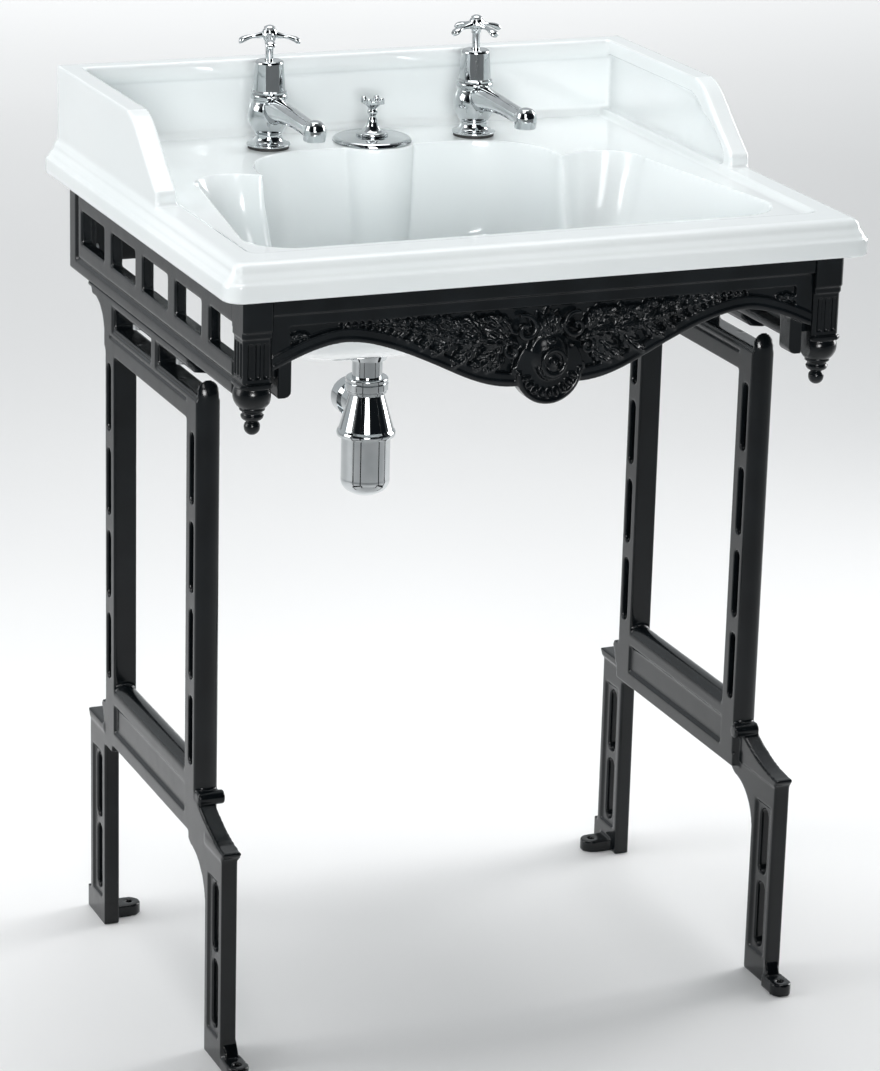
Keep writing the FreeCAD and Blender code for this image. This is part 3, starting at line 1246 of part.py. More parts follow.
def make_trap():
    y = fitting_y
    nut_top = cone_top_z + inlet_nut_height
    socket_z = cone_top_z - 14.0
    tube_fit = waste_tube_r + thread_gap
    collar_fit = cone_top_r + 1.0 + thread_gap
    add("trap_inlet_nut", turned([(tube_fit, nut_top), (inlet_nut_r - 2.5, nut_top),
                                  ("via", (inlet_nut_r - 0.6, nut_top - 0.8), (inlet_nut_r, nut_top - 3.0)),
                                  (inlet_nut_r, nut_top - 5.0), (inlet_nut_r - 1.2, nut_top - 6.0),
                                  (inlet_nut_r, nut_top - 7.0), (inlet_nut_r, cone_top_z + 1.5),
                                  (inlet_nut_r - 1.5, cone_top_z), (collar_fit, cone_top_z),
                                  (collar_fit, nut_top - 4.0), (tube_fit, nut_top - 4.0)], 0, y))
    collar_top = nut_top - 4.0 - seal_thickness
    add("trap_inlet_seal", ring(tube_fit, cone_top_r + 1.0, collar_top, nut_top - 4.0, 0, y))

    rim_z = cone_rim_z
    shell = [(tube_fit, collar_top), (cone_top_r + 1.0, collar_top), (cone_top_r + 1.0, cone_top_z - 0.2),
             (cone_top_r + 2.5, cone_top_z - 0.2), (cone_top_r + 2.5, cone_top_z - 2.0),
             (cone_top_r, cone_top_z - 4.0),
             (cone_rim_r - 1.5, rim_z + cone_rim_height + 2.0), (cone_rim_r, rim_z + cone_rim_height),
             ("via", (cone_rim_r + 0.8, rim_z + cone_rim_height / 2), (cone_rim_r, rim_z)),
             (cup_r + 1.2, rim_z), (cup_r + 1.2, rim_z + 3.0), (cup_r - 3.0, rim_z + 3.0),
             (cup_r - 3.0, rim_z + cone_rim_height + 2.0), (tube_fit + 3.4, socket_z - 2.0),
             (tube_fit, socket_z - 2.0)]
    body = turned(shell, 0, y)
    socket = rod(outlet_pipe_r + trap_wall, Vec(0, y, outlet_z), Vec(0, y + outlet_reach, outlet_z))
    bore_y = y + outlet_reach - 26.0
    throat = rod(outlet_pipe_r - 3.0, Vec(0, y + 10.0, outlet_z - 8.0), Vec(0, bore_y, outlet_z - 2.0))
    bore = rod(outlet_pipe_r, Vec(0, bore_y, outlet_z), Vec(0, y + outlet_reach + 1, outlet_z))
    inside = turned([(0, rim_z + 3.0), (cup_r - 3.0, rim_z + 3.0),
                     (cup_r - 3.0, rim_z + cone_rim_height + 2.0),
                     (tube_fit + 3.4, socket_z - 2.0), (0, socket_z - 2.0)], 0, y)
    way_in = upright_cylinder(tube_fit, socket_z - 3.0, nut_top, 0, y)
    body = body.fuse(socket).cut([inside, way_in, bore, throat])
    add("trap_body", single(body.removeSplitter()))

    dip_bottom = cup_bottom_z + 26.0
    dip_r = waste_tube_r - 2.0
    add("trap_dip_tube", ring(dip_r - 1.6, dip_r, dip_bottom, waste_tail_end_z - 8.0, 0, y).fuse(
        ring(dip_r - 0.5, tube_fit - thread_gap, socket_z, socket_z + 4.0, 0, y)).removeSplitter())

    wall = trap_wall
    cup_top = rim_z + 3.0 - seal_thickness
    add("trap_cup", turned([(cup_r - wall, cup_top), (cup_r + thread_gap * 4, cup_top), (cup_r, rim_z - 0.3),
                            (cup_r, cup_bottom_z + 20.0),
                            ("via", (24.8, cup_bottom_z + 12.0), (21.0, cup_bottom_z + 7.0)),
                            dome(21.0, cup_bottom_z + 7.0, cup_bottom_z), (0, cup_bottom_z + wall),
                            (12.0, cup_bottom_z + wall + 2.0), (cup_r - wall - 4.0, cup_bottom_z + 9.5),
                            (cup_r - wall, cup_bottom_z + 20.0)], 0, y))
    add("trap_cup_seal", ring(cup_r - wall, cup_r + 1.0, cup_top, rim_z + 3.0, 0, y))

    end_y = y + outlet_reach
    nut = rod(outlet_nut_r, Vec(0, end_y - outlet_nut_length + 6.0, outlet_z), Vec(0, end_y + 6.0, outlet_z))
    nut = nut.cut([rod(outlet_pipe_r + trap_wall + thread_gap, Vec(0, end_y - outlet_nut_length, outlet_z),
                       Vec(0, end_y + seal_thickness, outlet_z)),
                   rod(outlet_pipe_r, Vec(0, end_y, outlet_z), Vec(0, end_y + 10.0, outlet_z))])
    add("trap_outlet_nut", nut)
    seal = rod(outlet_pipe_r + trap_wall, Vec(0, end_y, outlet_z), Vec(0, end_y + seal_thickness, outlet_z))
    seal_bore = rod(outlet_pipe_r, Vec(0, end_y - 1, outlet_z), Vec(0, end_y + 9, outlet_z))
    add("trap_outlet_seal", seal.cut(seal_bore))


# ---------------------------------------------------------------- build and write

def write_parts():
    os.makedirs("parts", exist_ok=True)
    for name, shape in nodes.items():
        shape.exportStep("parts/%s.step" % name)
        print("%-22s solids %d  volume %9.1f cm3  valid %s"
              % (name, len(shape.Solids), shape.Volume / 1000.0, shape.isValid()))


make_basin()
make_pads()
make_side_rails()
make_leg_frames()
make_rear_rail()
make_posts()
make_front_apron()
make_stand_screws()
make_tap()
make_tap_fixings()
make_escutcheon()
make_knob()
make_plunger()
make_waste()
make_trap()
write_parts()
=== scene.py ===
import json
import math
import random

import bmesh
import bpy
import numpy as np
from mathutils import Matrix, Vector


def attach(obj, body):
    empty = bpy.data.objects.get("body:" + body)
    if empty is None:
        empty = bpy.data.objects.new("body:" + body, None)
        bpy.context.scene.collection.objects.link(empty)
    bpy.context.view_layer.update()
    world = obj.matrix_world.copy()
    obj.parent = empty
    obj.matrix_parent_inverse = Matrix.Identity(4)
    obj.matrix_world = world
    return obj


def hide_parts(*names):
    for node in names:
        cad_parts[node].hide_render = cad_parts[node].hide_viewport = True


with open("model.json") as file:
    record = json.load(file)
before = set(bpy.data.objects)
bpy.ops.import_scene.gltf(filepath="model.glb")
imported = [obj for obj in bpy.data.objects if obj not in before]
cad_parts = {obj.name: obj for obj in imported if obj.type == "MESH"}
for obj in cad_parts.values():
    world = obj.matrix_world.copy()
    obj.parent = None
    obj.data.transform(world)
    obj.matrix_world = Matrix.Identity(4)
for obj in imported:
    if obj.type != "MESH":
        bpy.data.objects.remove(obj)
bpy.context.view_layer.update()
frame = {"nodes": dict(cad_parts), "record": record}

# Looks of the console sink: glazed basin, black castings with a foliage apron, polished chrome
# taps, waste and trap. Forms are in millimetres; floor, lights and camera are in metres.

nodes = frame["nodes"]
body_of = {}
for body_name, members in frame["record"]["behaviour"]["bodies"].items():
    for member in members:
        body_of[member] = body_name
MM = 0.001
rng = random.Random(7)
coarse = 1.0


# ---------------------------------------------------------------- materials

def finish_material(name, tints, metallic, rough, mottle, grain, depth, coat=0.0, coat_rough=0.03,
                    gloss=0.5):
    """Surface with a drifting tint, a mottled roughness and a fine uneven skin.

    tints and rough are the two ends of the drift, mottle and grain are noise scales per metre,
    and depth is the height of the skin's bumps.
    """
    mat = bpy.data.materials.new(name)
    mat.use_nodes = True
    tree = mat.node_tree
    shader = tree.nodes["Principled BSDF"]
    shader.inputs["Metallic"].default_value = metallic
    shader.inputs["Coat Weight"].default_value = coat
    shader.inputs["Coat Roughness"].default_value = coat_rough
    shader.inputs["Specular IOR Level"].default_value = gloss
    place = tree.nodes.new("ShaderNodeTexCoord")

    def noise(scale, detail):
        node = tree.nodes.new("ShaderNodeTexNoise")
        node.inputs["Scale"].default_value = scale
        node.inputs["Detail"].default_value = detail
        tree.links.new(place.outputs["Object"], node.inputs["Vector"])
        return node.outputs["Fac"]

    ramp = tree.nodes.new("ShaderNodeValToRGB")
    for stop, position, tint in zip(ramp.color_ramp.elements, (0.35, 0.65), tints):
        stop.position = position
        stop.color = (*tint, 1.0)
    tree.links.new(noise(mottle * 0.4, 2.0), ramp.inputs["Fac"])
    tree.links.new(ramp.outputs["Color"], shader.inputs["Base Color"])

    spread = tree.nodes.new("ShaderNodeMapRange")
    spread.inputs["From Min"].default_value = 0.3
    spread.inputs["From Max"].default_value = 0.7
    spread.inputs["To Min"].default_value = rough[0]
    spread.inputs["To Max"].default_value = rough[1]
    tree.links.new(noise(mottle, 4.0), spread.inputs["Value"])
    tree.links.new(spread.outputs["Result"], shader.inputs["Roughness"])

    bump = tree.nodes.new("ShaderNodeBump")
    bump.inputs["Strength"].default_value = 1.0
    bump.inputs["Distance"].default_value = depth * MM
    tree.links.new(noise(grain, 3.0), bump.inputs["Height"])
    tree.links.new(bump.outputs["Normal"], shader.inputs["Normal"])
    return mat


finishes = {
    "white_ceramic": finish_material(
        "glaze", ((0.80, 0.845, 0.85), (0.84, 0.875, 0.88)), metallic=0.0, rough=(0.07, 0.13),
        mottle=9.0, grain=45.0, depth=0.05, coat=0.6, coat_rough=0.04),
    "black_casting": finish_material(
        "black_enamel", ((0.0030, 0.0042, 0.0052), (0.006, 0.0080, 0.0096)), metallic=0.0,
        rough=(0.14, 0.26), mottle=60.0, grain=420.0, depth=0.04, coat=0.15, coat_rough=0.09,
        gloss=0.3),
    "chrome": finish_material(
        "chrome_plate", ((0.50, 0.525, 0.535), (0.57, 0.59, 0.60)), metallic=1.0,
        rough=(0.02, 0.06), mottle=90.0, grain=160.0, depth=0.004),
    "brass": finish_material(
        "turned_brass", ((0.55, 0.36, 0.13), (0.68, 0.47, 0.20)), metallic=1.0,
        rough=(0.18, 0.32), mottle=300.0, grain=900.0, depth=0.02),
    "steel": finish_material(
        "zinc_steel", ((0.42, 0.43, 0.44), (0.55, 0.56, 0.56)), metallic=1.0,
        rough=(0.25, 0.42), mottle=500.0, grain=1500.0, depth=0.02),
    "rubber": finish_material(
        "seal_rubber", ((0.02, 0.02, 0.02), (0.035, 0.035, 0.034)), metallic=0.0,
        rough=(0.55, 0.75), mottle=400.0, grain=1800.0, depth=0.05),
    "valve_ceramic": finish_material(
        "valve_ceramic", ((0.78, 0.78, 0.75), (0.85, 0.85, 0.83)), metallic=0.0,
        rough=(0.12, 0.2), mottle=200.0, grain=900.0, depth=0.01),
}


# ---------------------------------------------------------------- helpers

def mesh_object(name, mesh):
    piece = bpy.data.objects.new(name, mesh)
    bpy.context.scene.collection.objects.link(piece)
    return piece


def finished(mesh, slot):
    """The mesh takes the finish of the slot, and no other."""
    mesh.materials.clear()
    mesh.materials.append(finishes[slot])


def fastened(piece, slot, node):
    """The piece rides where its node rides, stands for it, and takes the finish of the slot."""
    finished(piece.data, slot)
    piece.data.shade_smooth()
    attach(piece, body_of[node])
    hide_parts(node)


def joined(node, extra=()):
    """One mesh of the node's solids, with doubled points merged, and any extra forms."""
    work = bmesh.new()
    work.from_mesh(nodes[node].data)
    bmesh.ops.remove_doubles(work, verts=work.verts, dist=1e-6)
    for form in extra:
        spare = bpy.data.meshes.new("spare")
        form.to_mesh(spare)
        work.from_mesh(spare)
        bpy.data.meshes.remove(spare)
        form.free()
    mesh = bpy.data.meshes.new("formed")
    work.to_mesh(mesh)
    work.free()
    return mesh


def smoothed(piece, name, passes):
    smooth = piece.modifiers.new(name, "SMOOTH")
    smooth.factor = 0.5
    smooth.iterations = passes
    return smooth


def skinned(piece, voxel, passes):
    """Modifiers for one closed skin over everything, with its edges eased."""
    skin = piece.modifiers.new("skin", "REMESH")
    skin.mode = "VOXEL"
    skin.voxel_size = voxel * coarse * MM
    smoothed(piece, "ease", passes)


def baked(piece):
    """The piece's modifiers become its mesh."""
    graph = bpy.context.evaluated_depsgraph_get()
    mesh = bpy.data.meshes.new_from_object(piece.evaluated_get(graph))
    piece.modifiers.clear()
    piece.data = mesh


def formed(name, node, slot, voxel, passes, keep, extra=()):
    """The node's form with soft edges: skinned, eased and thinned out to the share kept."""
    piece = mesh_object(name, joined(node, extra))
    skinned(piece, voxel, passes)
    piece.modifiers.new("thin", "DECIMATE").ratio = keep
    baked(piece)
    fastened(piece, slot, node)


def lathe(profile, x, y, steps=48):
    """Ring turned around an upright line at x, y from a closed profile of (radius, height)."""
    form = bmesh.new()
    rings = []
    for k in range(steps):
        angle = 2 * math.pi * k / steps
        rings.append([form.verts.new(((x + r * math.cos(angle)) * MM,
                                      (y + r * math.sin(angle)) * MM, z * MM))
                      for r, z in profile])
    for k in range(steps):
        here, ahead = rings[k], rings[(k + 1) % steps]
        for i in range(len(profile)):
            j = (i + 1) % len(profile)
            form.faces.new((here[i], ahead[i], ahead[j], here[j]))
    bmesh.ops.remove_doubles(form, verts=form.verts, dist=1e-7)
    return form


# ---------------------------------------------------------------- foliage of the apron

field_y = -251.0        # face of the apron behind the relief
band_z = 751.0          # underside of the band above the relief
edge_margin = 12.0      # the leaves stay this far above the lower edge
edge_x = (0.0, 27.5, 70.1, 112.8, 159.5, 204.9, 239.3, 275.0)
edge_z = (676.0, 676.0, 683.3, 702.9, 723.0, 732.0, 725.0, 710.0)

# Scrolls: x, z, outer and inner radius, first angle, turns, thickness, rise.
shield_scrolls = (
    (25.0, 731.0, 14.0, 3.6, 65.0, 1.15, 3.0, 11.5),
    (38.0, 711.0, 9.0, 2.8, 110.0, -1.1, 2.3, 10.0),
    (33.0, 692.5, 5.5, 2.0, 150.0, 1.0, 1.7, 7.0),
)
field_scrolls = (
    (73.0, 722.0, 7.0, 2.3, 200.0, -1.1, 1.6, 7.0),
    (113.0, 735.0, 5.2, 1.8, 160.0, 1.1, 1.4, 6.0),
    (150.0, 741.0, 3.8, 1.4, 200.0, -1.0, 1.1, 5.0),
)
# Single leaves: x, z, heading, length, width, curl, rise, lobes.
shield_leaves = (
    (38.0, 727.0, 62.0, 25.0, 13.0, -50.0, 8.0, 4),
    (44.0, 705.0, -40.0, 26.0, 13.0, 50.0, 7.5, 4),
    (30.0, 716.0, 20.0, 24.0, 11.0, 20.0, 8.5, 3),
)
end_leaves = (
    (258.0, 738.0, 165.0, 20.0, 9.0, 18.0, 5.5, 3),
    (256.0, 733.0, 215.0, 13.0, 6.0, -30.0, 5.0, 3),
)


def lower_edge(x):
    """Height of the apron's serpentine lower edge, a smooth curve through its listed points."""
    x = abs(x)
    last = len(edge_x) - 1
    i = max(j for j in range(last) if edge_x[j] <= x or j == 0)
    x0, x1, z0, z1 = edge_x[i], edge_x[i + 1], edge_z[i], edge_z[i + 1]
    before, after = max(i - 1, 0), min(i + 2, last)
    m0 = (z1 - edge_z[before]) / (x1 - edge_x[before])
    m1 = (edge_z[after] - z0) / (edge_x[after] - x0)
    t = (x - x0) / (x1 - x0)
    span = x1 - x0
    return ((2 * t ** 3 - 3 * t ** 2 + 1) * z0 + (t ** 3 - 2 * t ** 2 + t) * span * m0
            + (3 * t ** 2 - 2 * t ** 3) * z1 + (t ** 3 - t ** 2) * span * m1)


def at(x, z, rise):
    """Point at x, z that stands proud of the apron's face by rise."""
    return Vector((x * MM, (field_y - rise) * MM, z * MM))


def tube(points, radii, sides=10):
    """Closed round tube through the points."""
    form = bmesh.new()
    circle = [Vector((math.cos(2 * math.pi * k / sides), math.sin(2 * math.pi * k / sides), 0))
              for k in range(sides)]
    rings = []
    for i, point in enumerate(points):
        ahead = points[min(i + 1, len(points) - 1)] - points[max(i - 1, 0)]
        turn = ahead.to_track_quat("Z", "Y").to_matrix()
        rings.append([form.verts.new(point + turn @ spoke * radii[i] * MM) for spoke in circle])
    for low, high in zip(rings, rings[1:]):
        for k in range(sides):
            form.faces.new((low[k], low[(k + 1) % sides], high[(k + 1) % sides], high[k]))
    form.faces.new(rings[0][::-1])
    form.faces.new(rings[-1])
    return form


def dome_form(x, z, half_x, half_z, rise, tilt=0.0, sunk=4.0):
    """Raised oval boss on the field, closed behind it."""
    form = bmesh.new()
    bmesh.ops.create_icosphere(form, subdivisions=4, radius=1.0)
    turn = Matrix.Rotation(math.radians(-tilt), 3, "Y")
    for v in form.verts:
        depth = rise if v.co.y < 0 else sunk
        flat = turn @ Vector((v.co.x * half_x, 0, v.co.z * half_z))
        v.co = Vector(((x + flat.x) * MM, (field_y + v.co.y * depth) * MM, (z + flat.z) * MM))
    return form


def volute(x, z, start_r, end_r, start, turns, thick, rise):
    """Scroll that winds in from start_r to end_r and ends in a round eye."""
    points, radii = [], []
    steps = 44
    for i in range(steps + 1):
        share = i / steps
        r = start_r + (end_r - start_r) * share ** 0.8
        angle = math.radians(start) + 2 * math.pi * turns * share
        points.append(at(x + r * math.cos(angle), z + r * math.sin(angle),
                         rise * (0.55 + 0.45 * share)))
        radii.append(thick * (0.62 + 0.38 * math.sin(math.pi * min(1.0, share + 0.15))))
    return [tube(points, radii), dome_form(x, z, end_r * 0.85, end_r * 0.85, rise + thick * 0.7)]


def leaf(x, z, heading, length, width, curl, rise, lobes=4, sunk=2.5):
    """Acanthus leaf: curved blade, lobed edges, hollow midrib, radiating flutes, rolled tip."""
    form = bmesh.new()
    along, across = 30, 14
    top, under = [], []
    px, pz = x, z
    for i in range(along + 1):
        u = i / along
        angle = math.radians(heading + curl * u * u)
        forward = Vector((math.cos(angle), math.sin(angle)))
        side = Vector((-forward.y, forward.x))
        outline = math.sin(math.pi * min(0.985, 0.12 + 0.88 * u ** 0.85)) ** 0.75
        notch = abs(math.sin(math.pi * lobes * (u + 0.04))) ** 0.6
        half = 0.5 * width * outline * (0.62 + 0.38 * notch)
        swell = 0.35 + 0.65 * math.sin(math.pi * min(1.0, u + 0.1)) ** 0.6
        tip = 0.5 * math.exp(-((u - 0.86) / 0.1) ** 2) - 0.5 * max(0.0, u - 0.93) / 0.07
        row_top, row_under = [], []
        for j in range(across + 1):
            v = 2.0 * j / across - 1.0
            lean = 0.22 * length / lobes * abs(v) ** 1.5
            sx = px + side.x * half * v + forward.x * lean
            sz = pz + side.y * half * v + forward.y * lean
            body = 1.0 - 0.55 * abs(v) ** 2.2
            rib = -0.42 * math.exp(-(v / 0.13) ** 2)
            flute = 0.17 * math.cos(2 * math.pi * (2.0 * abs(v) - 1.1 * lobes * u))
            height = rise * max(0.08, swell * body + rib + flute + tip)
            row_top.append(form.verts.new(at(sx, sz, height)))
            row_under.append(form.verts.new(at(sx, sz, -sunk)))
        top.append(row_top)
        under.append(row_under)
        px += forward.x * length / along
        pz += forward.y * length / along
    for i in range(along):
        for j in range(across):
            form.faces.new((top[i][j], top[i + 1][j], top[i + 1][j + 1], top[i][j + 1]))
            form.faces.new((under[i][j], under[i][j + 1], under[i + 1][j + 1], under[i + 1][j]))
        form.faces.new((top[i][0], under[i][0], under[i + 1][0], top[i + 1][0]))
        form.faces.new((top[i][-1], top[i + 1][-1], under[i + 1][-1], under[i][-1]))
    for j in range(across):
        form.faces.new((top[0][j], top[0][j + 1], under[0][j + 1], under[0][j]))
        form.faces.new((top[-1][j], under[-1][j], under[-1][j + 1], top[-1][j + 1]))
    return form


def flipped(forms):
    """The same forms on the other side of the middle."""
    out = []
    for form in forms:
        twin = form.copy()
        for v in twin.verts:
            v.co.x = -v.co.x
        bmesh.ops.reverse_faces(twin, faces=twin.faces)
        out.append(twin)
    return out


def spray(x, length_share, rise):
    """Leaves that spring from the vine at x, up, down and ahead, and fill the field there."""
    low = lower_edge(x + 6.0) + edge_margin
    middle = (low + band_z) / 2
    reach = (band_z - low) / 2
    size = reach * length_share
    wide = size * 0.62
    wobble = rng.uniform(-8.0, 8.0)
    return [leaf(x, middle + 1.0, 52.0 + wobble, size * 1.15, wide, -58.0, rise, 4),
            leaf(x + size * 0.22, middle - 1.0, -50.0 + wobble, size * 1.15, wide, 62.0, rise, 4),
            leaf(x + size * 0.1, middle, 6.0 + wobble, size * 0.9, wide * 0.75, 25.0,
                 rise * 1.25, 3)]


def right_foliage():
    """Sprays, vine, scrolls and single leaves of the apron's right half."""
    forms = []
    spray_x, spray_end = 41.0, 205.0
    while spray_x < spray_end:
        reach = (band_z - (lower_edge(spray_x) + edge_margin)) / 2
        forms += spray(spray_x, 1.12, 4.2 + 4.0 * min(1.0, reach / 24.0))
        spray_x += max(7.5, reach * 0.86)
    vine, radii = [], []
    steps = 49
    for i in range(steps + 1):
        share = i / steps
        x = 30.0 + 172.0 * share
        low = lower_edge(x) + edge_margin
        sway = (band_z - low) * 0.16 * math.sin(3.0 * math.pi * share + 0.6)
        vine.append(at(x, (low + band_z) / 2 + sway, 4.2 - 1.6 * share))
        radii.append(2.2 - 1.1 * share)
    forms.append(tube(vine, radii))
    for scrolls, leaves in ((shield_scrolls, shield_leaves), (field_scrolls, end_leaves)):
        for scroll in scrolls:
            forms += volute(*scroll)
        forms += [leaf(*blade) for blade in leaves]
    return forms


def edge_roll(lift, radius, rise, start=33.0, end=273.0):
    """Round moulding that follows the serpentine edge."""
    steps = 60
    points = []
    for i in range(steps + 1):
        x = start + (end - start) * i / steps
        points.append(at(x, lower_edge(x) + lift, rise))
    return tube(points, [radius] * (steps + 1), 12)


def cartouche():
    """Shield boss with a ringed stone, gadroons around the foot of the disc and a shell above."""
    shield = dome_form(0.0, 704.0, 21.0, 25.0, 17.5)
    stone = dome_form(0.0, 700.0, 8.0, 8.6, 22.0)
    ring = [at(11.2 * math.cos(a), 700.0 + 12.0 * math.sin(a), 18.2)
            for a in [2 * math.pi * i / 48 for i in range(49)]]
    rim = [at(31.0 * math.cos(a), 691.0 + 31.0 * math.sin(a), 8.4)
           for a in [math.pi * (1.0 + (i / 40)) for i in range(41)]]
    forms = [shield, stone, tube(ring, [2.5] * 49, 10), tube(rim, [2.3] * 41, 10)]
    for i in range(9):
        a = math.radians(-160.0 + 17.5 * i)
        forms.append(dome_form(25.0 * math.cos(a), 692.0 + 24.0 * math.sin(a), 6.2, 3.4, 13.0,
                               math.degrees(a)))
    for fan in range(-3, 4):
        heading = 90.0 + 20.0 * fan
        forms.append(leaf(2.0 * math.cos(math.radians(heading)), 721.0, heading,
                          27.0 - 3.0 * abs(fan), 9.0, 6.0 * fan, 12.5 - 1.3 * abs(fan), 2))
    forms.append(dome_form(0.0, 720.0, 6.0, 5.0, 17.0))
    return forms


carving = right_foliage()
carving += [edge_roll(3.6, 3.4, 3.4), edge_roll(10.6, 1.5, 4.4)]
carving += flipped(carving)
carving += cartouche()
formed("apron_casting", "front_apron", "black_casting", 0.9, 1, 0.4, carving)


# ---------------------------------------------------------------- glazed basin and castings

def fading(distance, width):
    """From 0 at no distance to 1 at the width and beyond."""
    return np.clip(distance / width, 0.0, 1.0)


def thrown_basin():
    """The basin's skin, eased most inside the bowl, where the glaze rolls over the shoulders."""
    bowl_top, bowl_half_width, bowl_back, bowl_front = 811.0, 268.0, 205.0, -214.0
    column_y, column_radius = 201.0, 50.0
    piece = mesh_object("basin_glaze", joined("basin"))
    skinned(piece, 1.7, 3)
    baked(piece)
    count = len(piece.data.vertices)
    place = np.empty(count * 3, np.float32)
    piece.data.vertices.foreach_get("co", place)
    x, y, z = place.reshape(-1, 3).T / MM
    weight = (fading(bowl_top - z, 16.0) * fading(bowl_half_width - np.abs(x), 12.0)
              * fading(np.hypot(x, y - column_y) - column_radius, 14.0)
              * fading(bowl_back - y, 12.0) * fading(y - bowl_front, 12.0))
    group = piece.vertex_groups.new(name="bowl")
    for level in range(1, 11):
        picked = np.nonzero(np.round(weight * 10) == level)[0]
        group.add(picked.tolist(), level / 10, "REPLACE")
    smoothed(piece, "roll", round(150 / coarse ** 2)).vertex_group = "bowl"
    piece.modifiers.new("thin", "DECIMATE").ratio = 0.35
    baked(piece)
    fastened(piece, "white_ceramic", "basin")


thrown_basin()
for side in ("left", "right"):
    formed("leg_casting_" + side, "leg_frame_" + side, "black_casting", 1.5, 4, 0.3)
    formed("rail_casting_" + side, "side_rail_" + side, "black_casting", 1.6, 3, 0.3)
    formed("post_casting_" + side, "corner_post_" + side, "black_casting", 0.8, 3, 0.35)
    formed("pendant_casting_" + side, "pendant_" + side, "black_casting", 0.5, 3, 0.4)
formed("rear_rail_casting", "rear_rail", "black_casting", 1.6, 3, 0.3)


# ---------------------------------------------------------------- taps and waste

tap_y = 69.0
hood_profile = ((8.7, 845.2), (10.6, 845.2), (11.1, 847.0), (11.5, 852.0), (11.2, 857.0),
                (9.6, 861.5), (6.4, 864.8), (2.0, 866.0), (0.3, 866.0), (0.3, 861.0),
                (6.0, 860.0), (8.7, 857.0))
for side, tap_x in (("left", -113.0), ("right", 113.0)):
    formed("tap_form_" + side, "tap_body_" + side, "chrome", 0.55, 7, 0.4,
           [lathe(hood_profile, tap_x, tap_y)])
    formed("handle_form_" + side, "tap_handle_" + side, "chrome", 0.35, 5, 0.4)
formed("knob_form", "waste_knob", "chrome", 0.3, 4, 0.5)

# Nodes that are carried over as they are. The names in the first table have a left and a right.
paired_nodes = {
    "chrome": ["tap_bonnet", "tap_spindle", "tap_index_cap"],
    "brass": ["tap_headwork"],
    "valve_ceramic": ["tap_fixed_disc", "tap_moving_disc"],
}
single_nodes = {
    "chrome": ["waste_escutcheon", "waste_lift_rod", "waste_standpipe", "waste_body",
               "trap_inlet_nut", "trap_body", "trap_cup", "trap_outlet_nut", "waste_backnut"],
    "brass": ["tap_backnuts", "trap_dip_tube"],
    "steel": ["leg_frame_screws", "rear_rail_screws", "corner_post_screws",
              "front_apron_screws"],
    "rubber": ["basin_pads", "tap_base_gaskets", "tap_washers", "waste_plug_seal",
               "waste_washer", "trap_inlet_seal", "trap_cup_seal", "trap_outlet_seal"],
}
for slot, kinds in paired_nodes.items():
    for kind in kinds:
        for side in ("left", "right"):
            finished(nodes[kind + "_" + side].data, slot)
for slot, names in single_nodes.items():
    for name in names:
        finished(nodes[name].data, slot)


# ---------------------------------------------------------------- floor, light and camera

floor_mesh = bpy.data.meshes.new("floor")
floor_form = bmesh.new()
bmesh.ops.create_grid(floor_form, x_segments=8, y_segments=8, size=20.0)
floor_form.to_mesh(floor_mesh)
floor_form.free()
floor = mesh_object("floor", floor_mesh)
floor_mesh.materials.append(finish_material(
    "floor_paint", ((0.90, 0.90, 0.90), (0.92, 0.92, 0.92)), metallic=0.0, rough=(0.6, 0.7),
    mottle=2.0, grain=40.0, depth=0.02))


def softbox(name, spot, aim, width, height, power, spread):
    """Rectangular lamp at the spot that faces the aim, with its power in watts."""
    data = bpy.data.lights.new(name, "AREA")
    data.shape = "RECTANGLE"
    data.size = width
    data.size_y = height
    data.energy = power
    data.spread = math.radians(spread)
    lamp = bpy.data.objects.new(name, data)
    bpy.context.scene.collection.objects.link(lamp)
    lamp.location = spot
    lamp.rotation_euler = (Vector(aim) - Vector(spot)).to_track_quat("-Z", "Y").to_euler()


softbox("left_light", (-2.5, 0.6, 1.3), (0, 0.2, 0.6), 1.3, 2.2, 7.5, 70.0)
softbox("right_light", (2.6, 0.6, 1.3), (0, 0.2, 0.7), 1.2, 2.0, 12.0, 70.0)
softbox("front_light", (-1.1, -2.6, 2.7), (0, 0, 0.72), 1.2, 1.2, 1.0, 36.0)
softbox("low_light", (-1.0, -3.2, 1.25), (0, 0, 0.82), 1.4, 0.8, 2.8, 30.0)
softbox("top_light", (0.2, 0.8, 4.6), (0.2, 0.7, 0.0), 3.6, 3.0, 26.0, 75.0)
softbox("floor_light", (2.0, 6.5, 4.0), (2.0, 6.4, 0.0), 8.0, 5.0, 135.0, 110.0)

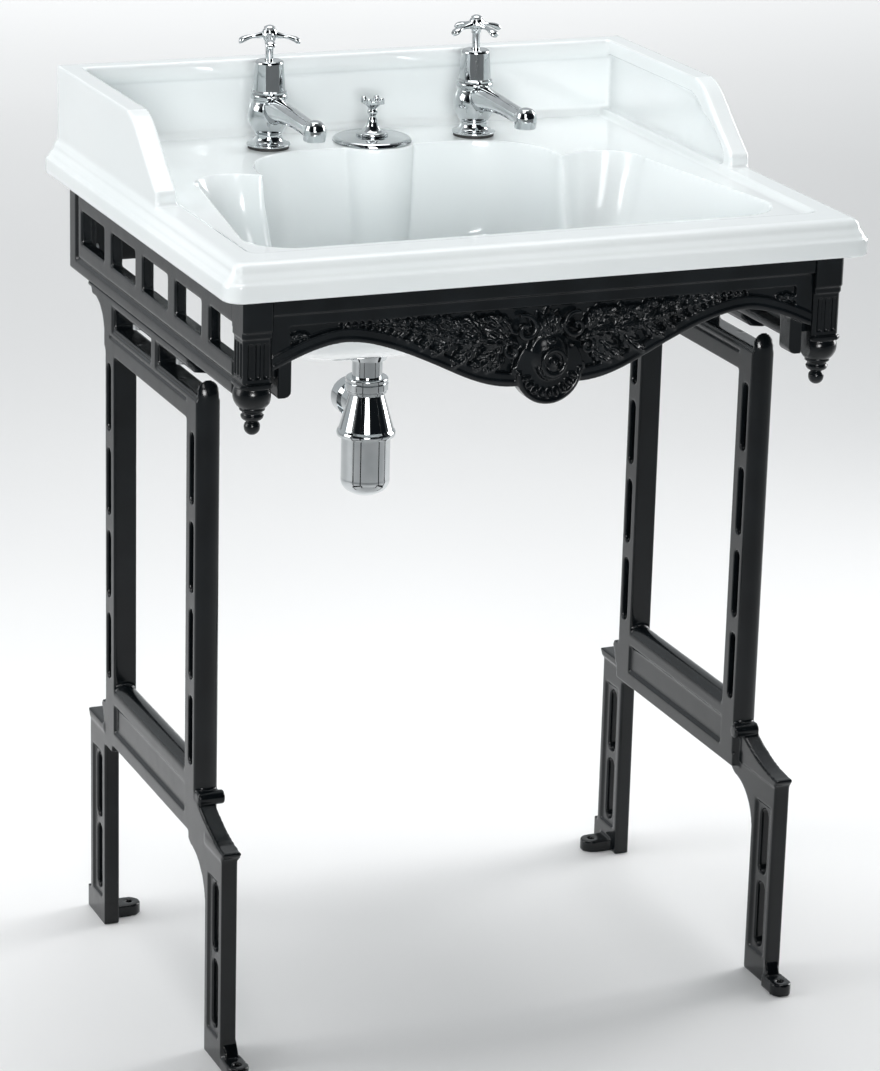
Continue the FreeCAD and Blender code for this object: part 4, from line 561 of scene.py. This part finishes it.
# The studio around it is dark in front of the sink and bright behind it.
dark_front, bright_back = (0.012, 0.015, 0.018, 1.0), (0.80, 0.84, 0.86, 1.0)
world = bpy.data.worlds.new("studio")
bpy.context.scene.world = world
world.use_nodes = True
sky = world.node_tree
where = sky.nodes.new("ShaderNodeTexCoord")
split = sky.nodes.new("ShaderNodeSeparateXYZ")
fade = sky.nodes.new("ShaderNodeValToRGB")
for stop, position, tint in zip(fade.color_ramp.elements, (0.32, 0.78), (dark_front, bright_back)):
    stop.position = position
    stop.color = tint
shift = sky.nodes.new("ShaderNodeMapRange")
shift.inputs["From Min"].default_value = -1.0
sky.links.new(where.outputs["Generated"], split.inputs["Vector"])
sky.links.new(split.outputs["Y"], shift.inputs["Value"])
sky.links.new(shift.outputs["Result"], fade.inputs["Fac"])
sky.links.new(fade.outputs["Color"], sky.nodes["Background"].inputs["Color"])
sky.nodes["Background"].inputs["Strength"].default_value = 0.76

# Camera, fitted to the corners of the basin, the posts and the uprights in the picture.
yaw, pitch, roll = 0.398687, 0.313923, 0.026689
camera_place = (-1.450371, -3.450038, 1.662517)
focal_px, frame_height_px, sensor_mm = 3895.73, 1071.0, 36.0
ahead = Vector((math.sin(yaw) * math.cos(pitch), math.cos(yaw) * math.cos(pitch),
                -math.sin(pitch)))
level = Vector((math.cos(yaw), -math.sin(yaw), 0.0))
upright = level.cross(ahead)
right_axis = math.cos(roll) * level + math.sin(roll) * upright
up_axis = math.cos(roll) * upright - math.sin(roll) * level
turn = Matrix((right_axis, up_axis, -ahead)).transposed().to_4x4()
camera_data = bpy.data.cameras.new("camera")
camera_data.sensor_fit = "VERTICAL"
camera_data.sensor_height = sensor_mm
camera_data.lens = focal_px * sensor_mm / frame_height_px
camera_data.clip_end = 100.0
camera = bpy.data.objects.new("camera", camera_data)
bpy.context.scene.collection.objects.link(camera)
camera.matrix_world = Matrix.Translation(camera_place) @ turn
bpy.context.scene.camera = camera
bpy.context.scene.view_settings.view_transform = "Standard"
